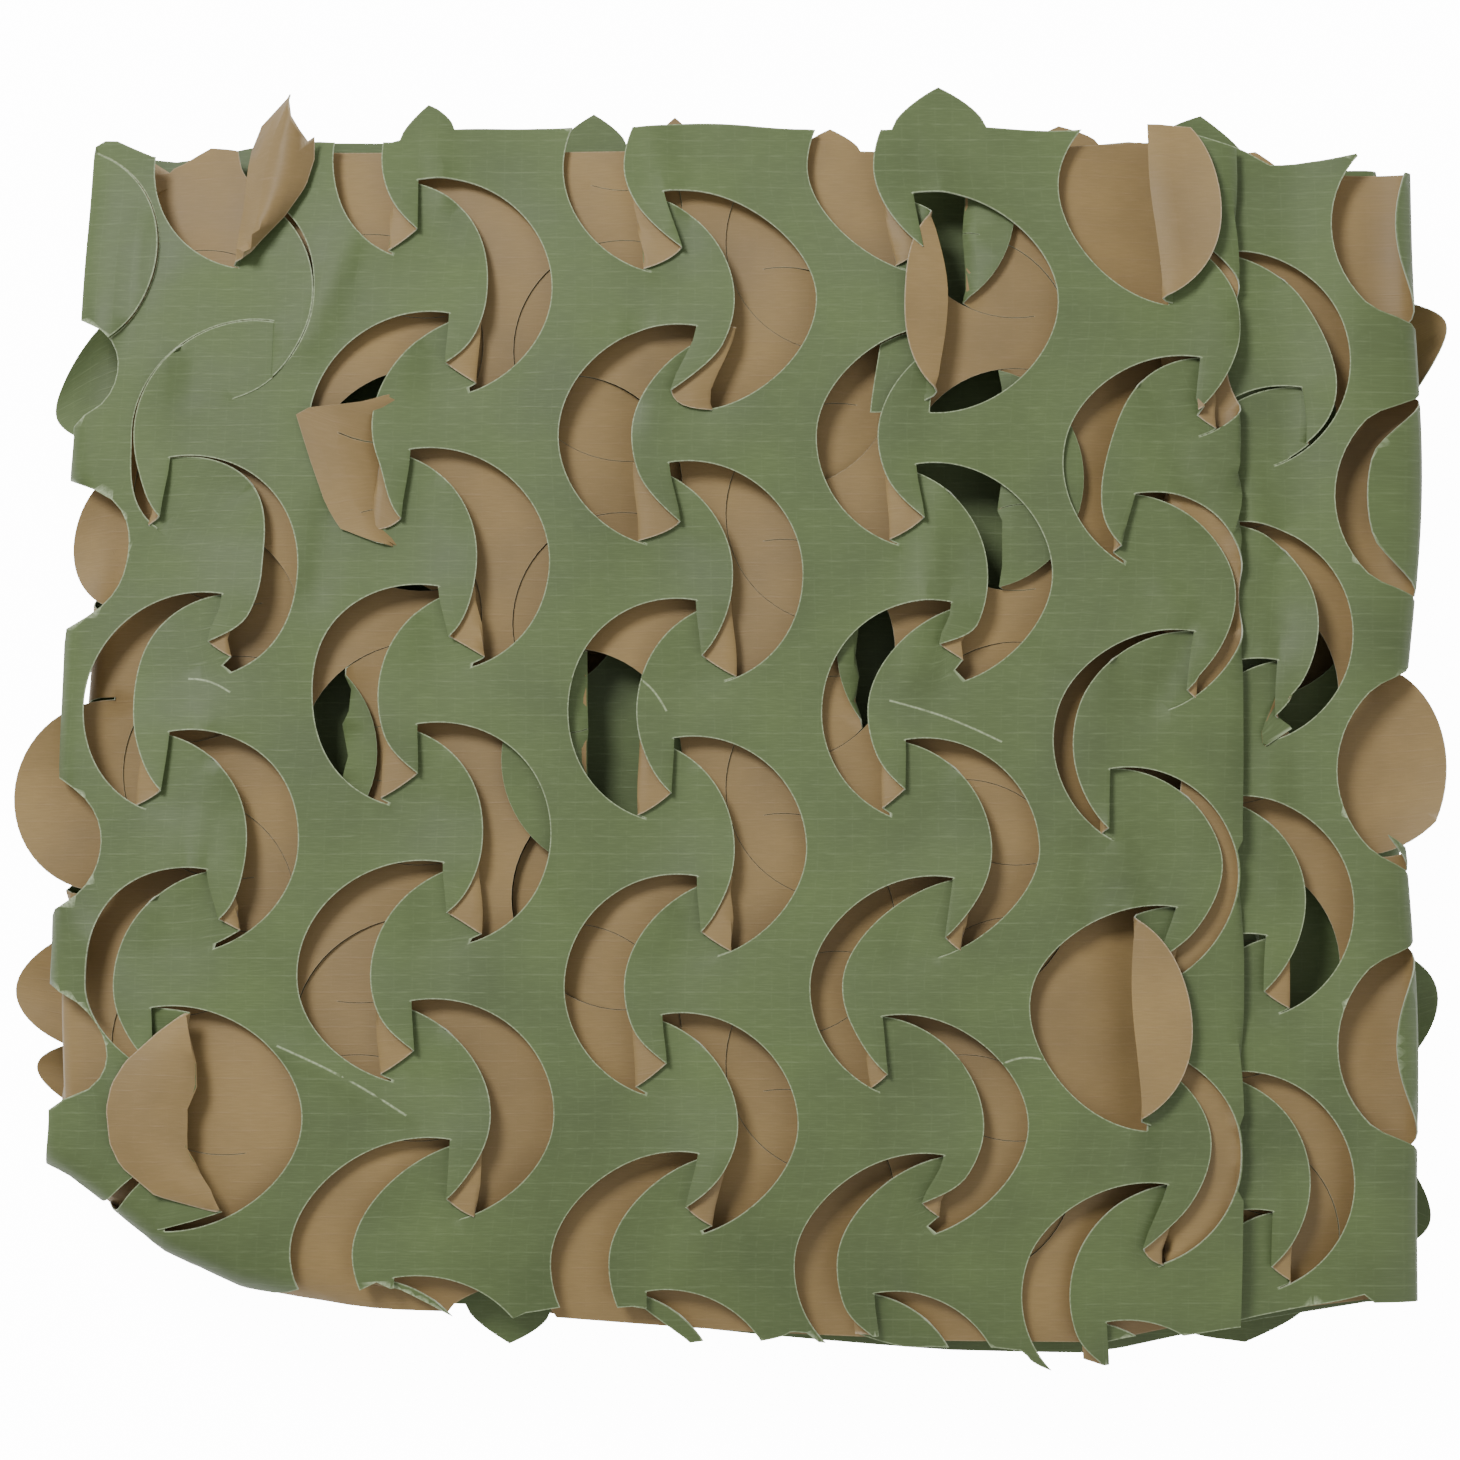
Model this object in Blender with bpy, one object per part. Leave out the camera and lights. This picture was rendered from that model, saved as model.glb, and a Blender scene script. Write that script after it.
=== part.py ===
"""A camouflage net of leaf-cut cloth, folded back and forth into a square pad.

The pad lies on its back: the first ply is flat on the ground and the last one is the face,
seen from above.  X runs across the folds, Y along them and Z up.  Sizes are in millimetres
and the mesh is written in metres.

The whole net is one strip.  It is laid out flat first, with u along its length and v across
it.  The leaf cuts that have opened are holes there, and place() then folds the strip into
the pad.
"""
import math

import bpy
from mathutils import Vector
from mathutils.geometry import delaunay_2d_cdt

MM = 0.001

# The cloth, and the pad that it is folded into
CLOTH = 1.5
PLIES = 7
TOP_PLY = PLIES - 1
PAD_HEIGHT = 70.0               # from the ground ply to the face, in the middle of the pad
CROWN_SIDES = 0.07              # how much lower the face is at the folds, as a share
CROWN_ENDS = 0.16               # and at the two cut edges
FOLD_LEFT = -178.0              # where the plies begin to turn
FOLD_RIGHT = 184.0
EDGE_TOP = 172.0                # the two cut edges of the strip
EDGE_BOTTOM = -173.0
SPAN = FOLD_RIGHT - FOLD_LEFT
TURN = 20.0                     # cloth that one fold takes up
RIPPLE = 1.1                    # how far a ply waves up and down
BASE_ARCH = 0.8                 # the pad rests on its corners, with its middle this much higher

# The pad isn't square: its left side leans out towards the lower corner, which is drawn in
LEAN = 12.0                     # how far the lower left stands out past the upper left
LEAN_LENGTH = 120.0             # part of the width that leans
CORNER_RISE = 36.0              # how far the lower left corner is drawn up
CORNER_X = -70.0                # where the drawn-up part begins
CORNER_Y = -60.0

# The lower edge sags to the right, and the upper one dips at its right end: (x, y past the edge)
LOWER_SAG = ((-190, 6), (-70, 3), (0, -3), (60, -7), (105, -8), (145, 0), (190, 6))
UPPER_DIP = ((-190, -2), (-165, -5), (-140, 1), (0, 3), (75, 1), (120, 5), (160, -5), (190, -5))

# The pleat down the right of the face, whose left part lies over its right part
PLEAT_EDGE = 144.0
PLEAT_OVERLAP = 20.0
PLEAT_RISE = 2.7                # from one of its three layers to the next
PLEAT_BEND = math.pi * PLEAT_RISE / 2
PLEAT_LENGTH = 2 * PLEAT_OVERLAP + 2 * PLEAT_BEND
PLEAT_RAMP = 26.0               # length over which the cloth right of it comes down

# The free end of the face, which turns down over the left side
END_START = -186.0
END_RADIUS = 7.0
END_DROP = 2.0
FACE_END = END_RADIUS * math.pi / 2 + END_DROP

# The leaf cuts: half circles that bulge right or left of an upright axis
LEAF_RADIUS = 32.0
ROW_PITCH = 80.0
RIM_STEPS = 8
TONGUE_STEPS = 6
LEAF_LIFT = 2.0                 # how far a loose leaf's edge stands up
SLIT = 2.0                      # room cut round a leaf that turns over or sticks out
SMALLEST_GAP = 4.0              # cuts that open less than this stay closed
RIGHT, LEFT = 1, -1

# Openings in the face: (axis x, centre y of the first cut, bulge, widths from the top down)
FACE_CUTS = (
    (-156, 129, RIGHT, (0, 10, 14)),
    (-156, 86, LEFT, (0, 18, 7)),
    (-90, 129, RIGHT, (20, 21, 18, 16)),
    (-90, 167, LEFT, (14, 19, 18, 18, 15)),
    (-15, 124, RIGHT, (22, 20, 20, 16)),
    (-15, 164, LEFT, (17, 22, 19, 15, 16)),
    (53, 44, RIGHT, (21, 13, 12)),
    (53, 163, LEFT, (19, 19, 12, 7, 12)),
    (122, 75, LEFT, (15, 5, 0, 14)),
    (122, 115, RIGHT, (0, 6, 0, 8)),
    (150, 107, RIGHT, (10, 16, 5, 8)),
    (205, 147, LEFT, (15, 9, 9, 14)),
)

# Leaves of the face that have turned over, brown side up: (axis x, centre y, bulge)
TURNED_LEAVES = (
    (-156, -112, RIGHT),
    (53, 124, RIGHT),
    (122, 153, LEFT),
    (122, -85, LEFT),
    (-146, 165, LEFT),
)
TURN_RADIUS = 2.6
TURN_CURL = 0.004

# Leaves that stick straight out where a ply turns: (ply, side, centre y, radius, slope)
FOLD_LEAVES = (
    (5, LEFT, -20, 29, 0.05),
    (5, LEFT, 47, 20, -0.15),
    (4, LEFT, 103, 30, -0.30),
    (3, LEFT, -84, 29, 0.0),
    (1, LEFT, -124, 24, 0.10),
    (5, RIGHT, -10, 28, 0.10),
    (3, RIGHT, 108, 26, 0.35),
    (4, RIGHT, -84, 22, -0.10),
    (2, RIGHT, -136, 22, 0.0),
)

# Leaf tips at the cut edges: (ply, edge, centre x, half width, reach)
EDGE_LEAVES = (
    (6, EDGE_TOP, 56, 15, 15),
    (6, EDGE_TOP, -91, 11, 10),
    (6, EDGE_TOP, -158, 11, 13),
    (4, EDGE_TOP, -43, 12, 10),
    (3, EDGE_TOP, -8, 13, 9),
    (4, EDGE_TOP, 137, 15, 11),
    (5, EDGE_TOP, 172, 12, 4),
    (6, EDGE_BOTTOM, 112, 12, 12),
    (5, EDGE_BOTTOM, -70, 18, 8),
    (6, EDGE_BOTTOM, -2, 20, 7),
    (3, EDGE_BOTTOM, -150, 16, 7),
    (2, EDGE_BOTTOM, 150, 18, 8),
    (1, EDGE_TOP, 60, 18, 8),
)

GREEN = (0.165, 0.225, 0.105, 1.0)

# How finely the strip is divided
GRID = 40.0                     # between the points of plain cloth along the strip
ROWS = 10                       # and across it
CLEAR = 7.0                     # plain cloth has no points this close to an opening
FOLD_STEPS = 5
BEND_STEPS = 4
CHORD_STEPS = 4


def runs_left(ply):
    """The even plies run from right to left along the strip, the odd ones back again."""
    return ply % 2 == 0


def ply_start(ply):
    return ply * (SPAN + TURN)


STRIP_END = ply_start(TOP_PLY) + (FOLD_RIGHT - END_START) + PLEAT_LENGTH + FACE_END


def strip_u(ply, x):
    """Place along the strip of the point of a ply that ends up at x."""
    if not runs_left(ply):
        return ply_start(ply) + x - FOLD_LEFT
    u = ply_start(ply) + FOLD_RIGHT - x
    if ply == TOP_PLY and x < PLEAT_EDGE:
        u += PLEAT_LENGTH
    return u


def ease(t):
    t = min(max(t, 0.0), 1.0)
    return t * t * (3 - 2 * t)


def along_table(table, x):
    """Second column of a table at x, by straight lines between its rows."""
    for (x0, y0), (x1, y1) in zip(table, table[1:]):
        if x <= x1:
            return y0 + (y1 - y0) * max(x - x0, 0) / (x1 - x0)
    return table[-1][1]


def settle(point):
    """Lean the left side of the pad out and draw its lower left corner up, all plies alike."""
    x, y = point.x, point.y
    lean = ease((FOLD_LEFT + LEAN_LENGTH - x) / LEAN_LENGTH) * (0.5 - y / (EDGE_TOP - EDGE_BOTTOM))
    corner = ease((CORNER_X - x) / (CORNER_X - FOLD_LEFT)) * ease((CORNER_Y - y) / (CORNER_Y - EDGE_BOTTOM))
    return Vector((x - LEAN * lean, y + CORNER_RISE * corner, point.z))


def ply_height(ply, x, y):
    """Middle of a ply above the ground: nearly flat at the ground, crowned at the face."""
    across = min(abs(x - (FOLD_LEFT + FOLD_RIGHT) / 2) / (SPAN / 2), 1.1)
    along = min(abs(y) / EDGE_TOP, 1.1)
    crown = PAD_HEIGHT * (1 - CROWN_SIDES * across ** 4 - CROWN_ENDS * along ** 6)
    ripple = RIPPLE * math.sin(x / 41 + 1.7 * ply) * math.cos(y / 35 - 1.1 * ply)
    base = BASE_ARCH * (1 - (across * along) ** 2)
    share = ply / TOP_PLY
    return CLOTH / 2 + base + share * crown + min(share * 3, 1) * ripple


def fold_reach(ply, y):
    """How far the fold above a ply bulges out, past a plain half circle."""
    return 4.0 + 2.5 * math.sin(y / 52 + 2.3 * ply) + 1.5 * math.sin(y / 23 + ply)


def fold_point(ply, along, y):
    """Point of the fold between a ply and the next, along it from 0 to 1."""
    edge, side = (FOLD_LEFT, LEFT) if runs_left(ply) else (FOLD_RIGHT, RIGHT)
    low, high = ply_height(ply, edge, y), ply_height(ply + 1, edge, y)
    half = (high - low) / 2
    angle = math.pi * along
    x = edge + side * (half + fold_reach(ply, y)) * math.sin(angle)
    return Vector((x, y, low + half * (1 - math.cos(angle))))


def pleat_bend(x, side, lower, s, y):
    """Point at s round one bend of the pleat, whose lower layer is that far under the face."""
    radius = PLEAT_RISE / 2
    x += side * radius * math.sin(s / radius)
    rise = radius * (1 - math.cos(s / radius))
    return Vector((x, y, ply_height(TOP_PLY, x, y) - lower + rise))


def face_point(s, y):
    """Point of the face at s from its right-hand fold: the pleat, then on to the free end."""
    inner = PLEAT_EDGE - PLEAT_OVERLAP
    if s < FOLD_RIGHT - inner:
        x = FOLD_RIGHT - s
        drop = 2 * PLEAT_RISE * ease(s / PLEAT_RAMP)
        return Vector((x, y, ply_height(TOP_PLY, x, y) - drop))
    s -= FOLD_RIGHT - inner
    if s < PLEAT_BEND:
        return pleat_bend(inner, LEFT, 2 * PLEAT_RISE, s, y)
    s -= PLEAT_BEND
    if s < PLEAT_OVERLAP:
        return Vector((inner + s, y, ply_height(TOP_PLY, inner + s, y) - PLEAT_RISE))
    s -= PLEAT_OVERLAP
    if s < PLEAT_BEND:
        return pleat_bend(PLEAT_EDGE, RIGHT, PLEAT_RISE, s, y)
    x = PLEAT_EDGE - (s - PLEAT_BEND)
    if x > END_START:
        return Vector((x, y, ply_height(TOP_PLY, x, y)))
    s = END_START - x
    angle = min(s / END_RADIUS, math.pi / 2)
    down = END_RADIUS * (1 - math.cos(angle)) + max(s - END_RADIUS * math.pi / 2, 0)
    height = ply_height(TOP_PLY, END_START, y)
    return Vector((END_START - END_RADIUS * math.sin(angle), y, height - down))


def folded(u, y):
    """Fold the flat strip into the pad, without its loose leaves."""
    ply = min(int(u // (SPAN + TURN)), TOP_PLY)
    s = u - ply_start(ply)
    if ply == TOP_PLY:
        return face_point(s, y)
    if s > SPAN:
        return fold_point(ply, (s - SPAN) / TURN, y)
    x = FOLD_RIGHT - s if runs_left(ply) else FOLD_LEFT + s
    return Vector((x, y, ply_height(ply, x, y)))


class OpenCut:
    """A leaf cut that has been pulled open into a crescent, with a loose leaf beside it."""

    def __init__(self, ply, x, y, bulge, width):
        self.u, self.v, self.width = strip_u(ply, x), y, width
        self.way = -bulge if runs_left(ply) else bulge
        self.leaf = LEAF_RADIUS - width

    def holes(self):
        rim = [half_turn(step / RIM_STEPS, LEAF_RADIUS, LEAF_RADIUS) for step in range(RIM_STEPS + 1)]
        leaf = [half_turn(step / TONGUE_STEPS, self.leaf, LEAF_RADIUS)
                for step in range(TONGUE_STEPS - 1, 0, -1)]
        return [(self.u + self.way * a, self.v + b) for a, b in rim + leaf]

    def lift(self, u, v):
        """Height that the loose leaf adds at a point of the strip."""
        out = (u - self.u) * self.way
        if out <= 0 or (out / self.leaf) ** 2 + ((v - self.v) / LEAF_RADIUS) ** 2 > 1.02:
            return 0.0
        return LEAF_LIFT * (out / self.leaf) ** 2


class LooseLeaf:
    """A leaf cut free all round but for its chord, which leaves a half-round hole behind."""

    def __init__(self, ply, x, y, bulge, radius):
        self.ply, self.x, self.v, self.radius = ply, x, y, radius
        self.u, self.bulge = strip_u(ply, x), bulge
        self.way = -bulge if runs_left(ply) else bulge

    def holes(self):
        rim = [half_turn(step / RIM_STEPS, self.radius, self.radius) for step in range(RIM_STEPS + 1)]
        inner = self.radius - SLIT
        leaf = [half_turn(step / RIM_STEPS, inner, inner) for step in range(RIM_STEPS, -1, -1)]
        return [(self.u + self.way * a, self.v + b) for a, b in rim + leaf]

    def out(self, u, v):
        """Distance from the chord of a point on the leaf, or None off it."""
        out = (u - self.u) * self.way
        if out < 1e-4 or math.hypot(out, v - self.v) > self.radius - SLIT / 2:
            return None
        return out


class TurnedLeaf(LooseLeaf):
    """A leaf of the face, folded back over its chord so that its brown side shows."""

    bends = [TURN_RADIUS * math.pi * step / BEND_STEPS for step in range(BEND_STEPS + 1)]

    def place(self, out, y):
        angle = min(out / TURN_RADIUS, math.pi)
        flat = max(out - TURN_RADIUS * math.pi, 0)
        x = self.x + self.bulge * (TURN_RADIUS * math.sin(angle) - flat)
        rise = TURN_RADIUS * (1 - math.cos(angle)) + TURN_CURL * flat * flat
        return Vector((x, y, ply_height(self.ply, x, y) + rise))


class FoldLeaf(LooseLeaf):
    """A leaf that goes straight on where its ply turns."""

    bends = [0.0]

    def __init__(self, ply, side, y, radius, slope):
        super().__init__(ply, FOLD_LEFT if side == LEFT else FOLD_RIGHT, y, side, radius)
        self.slope = slope

    def place(self, out, y):
        rise = self.slope * out * ease(out / self.radius)
        return Vector((self.x + self.bulge * out, y, ply_height(self.ply, self.x, y) + rise))


def half_turn(share, reach, height):
    """Point of a half ellipse, from its upper end to its lower one."""
    angle = math.pi * (0.5 - share)
    return reach * math.cos(angle), height * math.sin(angle)


def open_cuts():
    cuts = []
    for x, first, bulge, widths in FACE_CUTS:
        for row, width in enumerate(widths):
            if width >= SMALLEST_GAP:
                cuts.append(OpenCut(TOP_PLY, x, first - row * ROW_PITCH, bulge, width))
    for ply in range(TOP_PLY):
        every = 2 if ply == 0 else 3
        for column in range(5):
            for row in range(4):
                if (column + row + ply) % every == 0:
                    bulge = RIGHT if row % 2 else LEFT
                    x = -146 + 72 * column + 9 * (ply % 3)
                    y = 121 - ROW_PITCH * row - 7 * (ply % 4)
                    cuts.append(OpenCut(ply, x, y, bulge, 12 + 2 * (column % 3)))
    return cuts


def loose_leaves():
    turned = [TurnedLeaf(TOP_PLY, x, y, bulge, LEAF_RADIUS) for x, y, bulge in TURNED_LEAVES]
    return turned + [FoldLeaf(*row) for row in FOLD_LEAVES]


def bend_lines():
    """Places along the strip where the cloth bends, so that points lie on every bend."""
    lines = []
    for ply in range(TOP_PLY):
        start = ply_start(ply) + SPAN
        lines += [start + TURN * step / FOLD_STEPS for step in range(FOLD_STEPS + 1)]
    start = ply_start(TOP_PLY) + FOLD_RIGHT - PLEAT_EDGE
    lines.append(ply_start(TOP_PLY) + PLEAT_RAMP)
    for bend in (start + PLEAT_OVERLAP, start + 2 * PLEAT_OVERLAP + PLEAT_BEND):
        lines += [bend + PLEAT_BEND * step / BEND_STEPS for step in range(BEND_STEPS + 1)]
    end = STRIP_END - FACE_END
    lines += [end + END_RADIUS * math.pi / 2 * step / 3 for step in range(4)]
    return lines


def strip_x(u):
    """Roughly where a place along the strip ends up across the pad."""
    ply = min(int(u // (SPAN + TURN)), TOP_PLY)
    s = min(u - ply_start(ply), SPAN)
    return FOLD_RIGHT - s if runs_left(ply) else FOLD_LEFT + s


def edge_v(u, edge):
    """The cut edges follow the pad's outline, a little uneven from ply to ply."""
    table = UPPER_DIP if edge == EDGE_TOP else LOWER_SAG
    return edge + along_table(table, strip_x(u)) + 1.5 * math.sin(u / 61 + edge) + math.sin(u / 143)


def edge_line(edge, stations):
    """One cut edge as points along the strip, with the leaf tips that stand past it."""
    side = 1 if edge > 0 else -1
    points = {u: edge_v(u, edge) for u in stations}
    for ply, leaf_edge, x, half, reach in EDGE_LEAVES:
        if leaf_edge != edge:
            continue
        middle = strip_u(ply, x)
        points = {u: v for u, v in points.items() if abs(u - middle) > half * 1.1}
        for share, height in ((-1, 0), (-0.55, 0.62), (0.1, 1), (0.65, 0.55), (1, 0)):
            u = middle + share * half
            points[u] = edge_v(u, edge) + side * reach * height
    return sorted(points.items())


def inside(point, loop):
    x, y = point
    found = False
    for (x0, y0), (x1, y1) in zip(loop, loop[1:] + loop[:1]):
        if (y0 > y) != (y1 > y) and x < x0 + (y - y0) / (y1 - y0) * (x1 - x0):
            found = not found
    return found


def bounds(loop):
    us, vs = [p[0] for p in loop], [p[1] for p in loop]
    return min(us), max(us), min(vs), max(vs)


def flat_strip(cuts, leaves):
    """Triangles of the flat strip, with its openings left out."""
    bends = bend_lines()
    stations = sorted(bends + [u for u in frange(0, STRIP_END, GRID)
                               if min(abs(u - bend) for bend in bends) > GRID / 3])
    stations.append(STRIP_END)
    outline = edge_line(EDGE_BOTTOM, stations) + edge_line(EDGE_TOP, stations)[::-1]
    holes = [cut.holes() for cut in cuts] + [leaf.holes() for leaf in leaves]
    boxes = [bounds(hole) for hole in holes]

    points, lines = [], []

    def add_loop(loop, closed):
        first = len(points)
        points.extend(loop)
        count = len(loop)
        for step in range(count if closed else count - 1):
            lines.append((first + step, first + (step + 1) % count))

    for loop in [outline] + holes:
        add_loop(loop, True)
    rows = [EDGE_BOTTOM + (EDGE_TOP - EDGE_BOTTOM) * step / ROWS for step in range(1, ROWS)]
    for u in bends:
        ends = [(u, edge_v(u, EDGE_BOTTOM)), (u, edge_v(u, EDGE_TOP))]
        add_loop(ends[:1] + [(u, v) for v in rows] + ends[1:], False)
    for leaf in leaves:
        for out in leaf.bends:
            half = math.sqrt((leaf.radius - SLIT) ** 2 - out * out)
            add_loop([(leaf.u + leaf.way * out, leaf.v + half * (2 * step / CHORD_STEPS - 1))
                      for step in range(CHORD_STEPS + 1)], False)

    def free(u, v):
        """True where plain cloth is far enough from any opening for a point of its own."""
        return not any(u0 - CLEAR < u < u1 + CLEAR and v0 - CLEAR < v < v1 + CLEAR
                       for u0, u1, v0, v1 in boxes)

    for u in stations[1:-1]:
        if min(abs(u - bend) for bend in bends) > CLEAR:
            points.extend((u, v) for v in rows[::2] if free(u, v))
    for cut in cuts:
        points.append((cut.u, cut.v))
        points.append((cut.u + cut.way * cut.leaf / 2, cut.v))

    coords = [Vector(p) for p in points]
    verts, _, faces, *_ = delaunay_2d_cdt(coords, lines, [], 0, 1e-3)
    kept = []
    for face in faces:
        middle = sum((verts[i] for i in face), Vector((0, 0))) / 3
        u, v = middle
        hidden = any(box[0] < u < box[1] and box[2] < v < box[3] and inside((u, v), hole)
                     for box, hole in zip(boxes, holes))
        if not hidden and inside((u, v), outline):
            kept.append(tuple(face))
    return [tuple(v) for v in verts], kept


def frange(start, end, step):
    count = int((end - start) / step)
    return [start + step * k for k in range(count + 1)]


def place(u, v, cuts, leaves):
    """Where a point of the flat strip lies in the folded pad."""
    for leaf in leaves:
        out = leaf.out(u, v)
        if out is not None:
            return settle(leaf.place(out, v))
    point = folded(u, v)
    for cut in cuts:
        if abs(u - cut.u) < LEAF_RADIUS and abs(v - cut.v) < LEAF_RADIUS:
            point.z += cut.lift(u, v)
    return settle(point)


def net_mesh():
    """The folded strip, thickened to the cloth and closed round its edges and openings."""
    cuts, leaves = open_cuts(), loose_leaves()
    flat, faces = flat_strip(cuts, leaves)
    used = sorted({i for face in faces for i in face})
    index = {old: new for new, old in enumerate(used)}
    faces = [tuple(index[i] for i in face) for face in faces]
    middle = [place(*flat[i], cuts, leaves) for i in used]

    normals = [Vector((0, 0, 0)) for _ in middle]
    for a, b, c in faces:
        normal = (middle[b] - middle[a]).cross(middle[c] - middle[a])
        for i in (a, b, c):
            normals[i] += normal
    half = CLOTH / 2
    count = len(middle)
    verts = [p + n.normalized() * half for p, n in zip(middle, normals)]
    verts += [p - n.normalized() * half for p, n in zip(middle, normals)]
    walls = {(a, b) for face in faces for a, b in zip(face, face[1:] + face[:1])}
    solid = list(faces)
    solid += [(c + count, b + count, a + count) for a, b, c in faces]
    for a, b in sorted(walls):
        if (b, a) not in walls:
            solid.append((b, a, a + count))
            solid.append((b, a + count, b + count))
    low = Vector([min(v[axis] for v in verts) for axis in range(3)])
    high = Vector([max(v[axis] for v in verts) for axis in range(3)])
    origin = Vector(((low.x + high.x) / 2, (low.y + high.y) / 2, low.z))
    mesh = bpy.data.meshes.new("net")
    mesh.from_pydata([(v - origin) * MM for v in verts], [], solid)
    return mesh


def cloth_material():
    material = bpy.data.materials.new("green_cloth")
    material.use_nodes = True
    shader = material.node_tree.nodes["Principled BSDF"]
    shader.inputs["Base Color"].default_value = GREEN
    shader.inputs["Roughness"].default_value = 0.85
    shader.inputs["Metallic"].default_value = 0.0
    return material


def main():
    for old in list(bpy.data.objects):
        bpy.data.objects.remove(old, do_unlink=True)
    mesh = net_mesh()
    mesh.materials.append(cloth_material())
    mesh.shade_smooth()
    mesh.set_sharp_from_angle(angle=math.radians(50))
    net = bpy.data.objects.new("net", mesh)
    bpy.context.scene.collection.objects.link(net)


main()
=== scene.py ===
"""The looks of a folded camouflage net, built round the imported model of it."""

import random
from functools import partial
from math import acos, cos, hypot, pi, radians, sin, sqrt

import bpy
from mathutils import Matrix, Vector, kdtree
from mathutils.geometry import delaunay_2d_cdt


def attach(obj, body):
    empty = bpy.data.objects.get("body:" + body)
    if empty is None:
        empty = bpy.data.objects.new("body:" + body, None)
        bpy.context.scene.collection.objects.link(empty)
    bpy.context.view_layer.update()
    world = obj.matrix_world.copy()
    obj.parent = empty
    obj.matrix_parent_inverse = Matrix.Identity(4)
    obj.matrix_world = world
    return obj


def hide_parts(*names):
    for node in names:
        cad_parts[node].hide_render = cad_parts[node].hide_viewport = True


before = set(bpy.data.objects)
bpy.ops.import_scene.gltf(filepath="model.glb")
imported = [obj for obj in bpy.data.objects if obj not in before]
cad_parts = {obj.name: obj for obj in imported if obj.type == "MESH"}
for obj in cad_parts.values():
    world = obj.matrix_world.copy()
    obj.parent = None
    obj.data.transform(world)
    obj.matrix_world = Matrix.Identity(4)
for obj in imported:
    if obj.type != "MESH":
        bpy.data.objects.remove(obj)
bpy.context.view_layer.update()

# ------------------------------------------------------------------------------------------
# The net.  One strip of proofed ripstop nylon, green on one face and tan on the other.  It is
# cut flat with columns of half-round leaf cuts that lie back to back, pulled open sideways so
# that the leaves part from the cloth, and folded back and forth into seven plies.

MM = 0.001
PAD_MIDDLE = Vector((-2.784, -2.544, 0.014))  # the row's origin, in the millimetres used below

# The fold-up, which follows the solid's: ply 0 lies on the ground and the top ply is the face
TOP_PLY = 6
PLY_MIDDLE = 0.75  # half the thickness of the solid's cloth
PAD_HEIGHT = 70.0  # from the ground ply to the face
CROWN_SIDES = 0.07  # how much lower the face is at the folds
CROWN_ENDS = 0.16  # and at the two cut edges, as shares
FOLD_LEFT = -178.0  # where the plies begin to turn
FOLD_RIGHT = 184.0
EDGE_TOP = 172.0  # the strip's two cut edges
EDGE_BOTTOM = -173.0
SPAN = FOLD_RIGHT - FOLD_LEFT
TURN = 20.0  # cloth that one fold takes up
RIPPLE = 1.1  # how far a ply waves up and down
BASE_ARCH = 0.8  # how far the middle is off the ground
LEAN = 12.0  # how far the left side leans out at its foot
LEAN_LENGTH = 120.0
CORNER_RISE = 36.0  # how far the lower left corner is drawn up
CORNER_X = -70.0
CORNER_Y = -60.0
LOWER_SAG = ((-190, 6), (-70, 3), (0, -3), (60, -7), (105, -8), (145, 0), (190, 6))
UPPER_DIP = ((-190, -2), (-165, -5), (-140, 1), (0, 3), (75, 1), (120, 5), (160, -5), (190, -5))
PLEAT_EDGE = 144.0  # the pleat down the right side of the face
PLEAT_OVERLAP = 20.0
PLEAT_RISE = 2.7
PLEAT_BEND = pi * PLEAT_RISE / 2
PLEAT_LENGTH = 2 * PLEAT_OVERLAP + 2 * PLEAT_BEND
PLEAT_RAMP = 26.0
END_START = -186.0  # where the strip's free end rolls down
END_RADIUS = 7.0
RAISED = (-0.4, -0.4, 0.0, 0.5, 2.5, 5.5, 0.0)  # plies lie closer up to the face than the solid's
RAISED_FROM = 45.0  # from the left fold on
LEFT, RIGHT = -1, 1

# The leaf cuts of the face.  In each column they bulge left and right by turns, 40 mm apart.
CUT_RADIUS = 32.5
NECK = 5.8  # from a cut's centre back to its ends, where the leaf's root is
BACK_TO_BACK = 15.8  # between the centres of left and right cuts
CUT_STEP = 40.0
COLUMNS = (  # (place in the flat cloth, y of the first cut)
    (-136.0, 166.0), (-86.0, 168.0), (-32.5, 164.0),
    (21.5, 163.5), (75.5, 155.0), (145.0, 147.0),
)
FIRST_OPENING = 165.0
OPENINGS = (  # from the top: (strip left of the cuts, then how far each column is pulled open)
    (-68.0, 2.5, 14.0, 17.5, 19.0, 4.0), (-69.0, 0.0, 18.5, 23.5, 16.5, 3.0),
    (-70.5, 0.5, 17.5, 21.0, 17.5, 13.0), (-81.0, 9.5, 20.5, 20.0, 18.5, 4.0),
    (-81.5, 14.5, 17.5, 19.5, 13.0, 5.5), (-83.0, 13.5, 19.0, 20.5, 13.5, 4.0),
    (-77.5, 8.0, 19.0, 17.0, 9.0, 9.5), (-69.0, 2.0, 17.5, 17.0, 12.5, 8.0),
    (-76.0, 6.0, 15.5, 16.5, 12.0, 13.5),
)
TURNED = {  # leaves folded over, by (column, cut): how far the fold is past the cut's centre
    (0, 0): 6.5,
    (0, 7): 4.0,
    (3, 1): 15.5,
    (4, 0): 8.0,
    (4, 6): 11.0,
}
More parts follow.
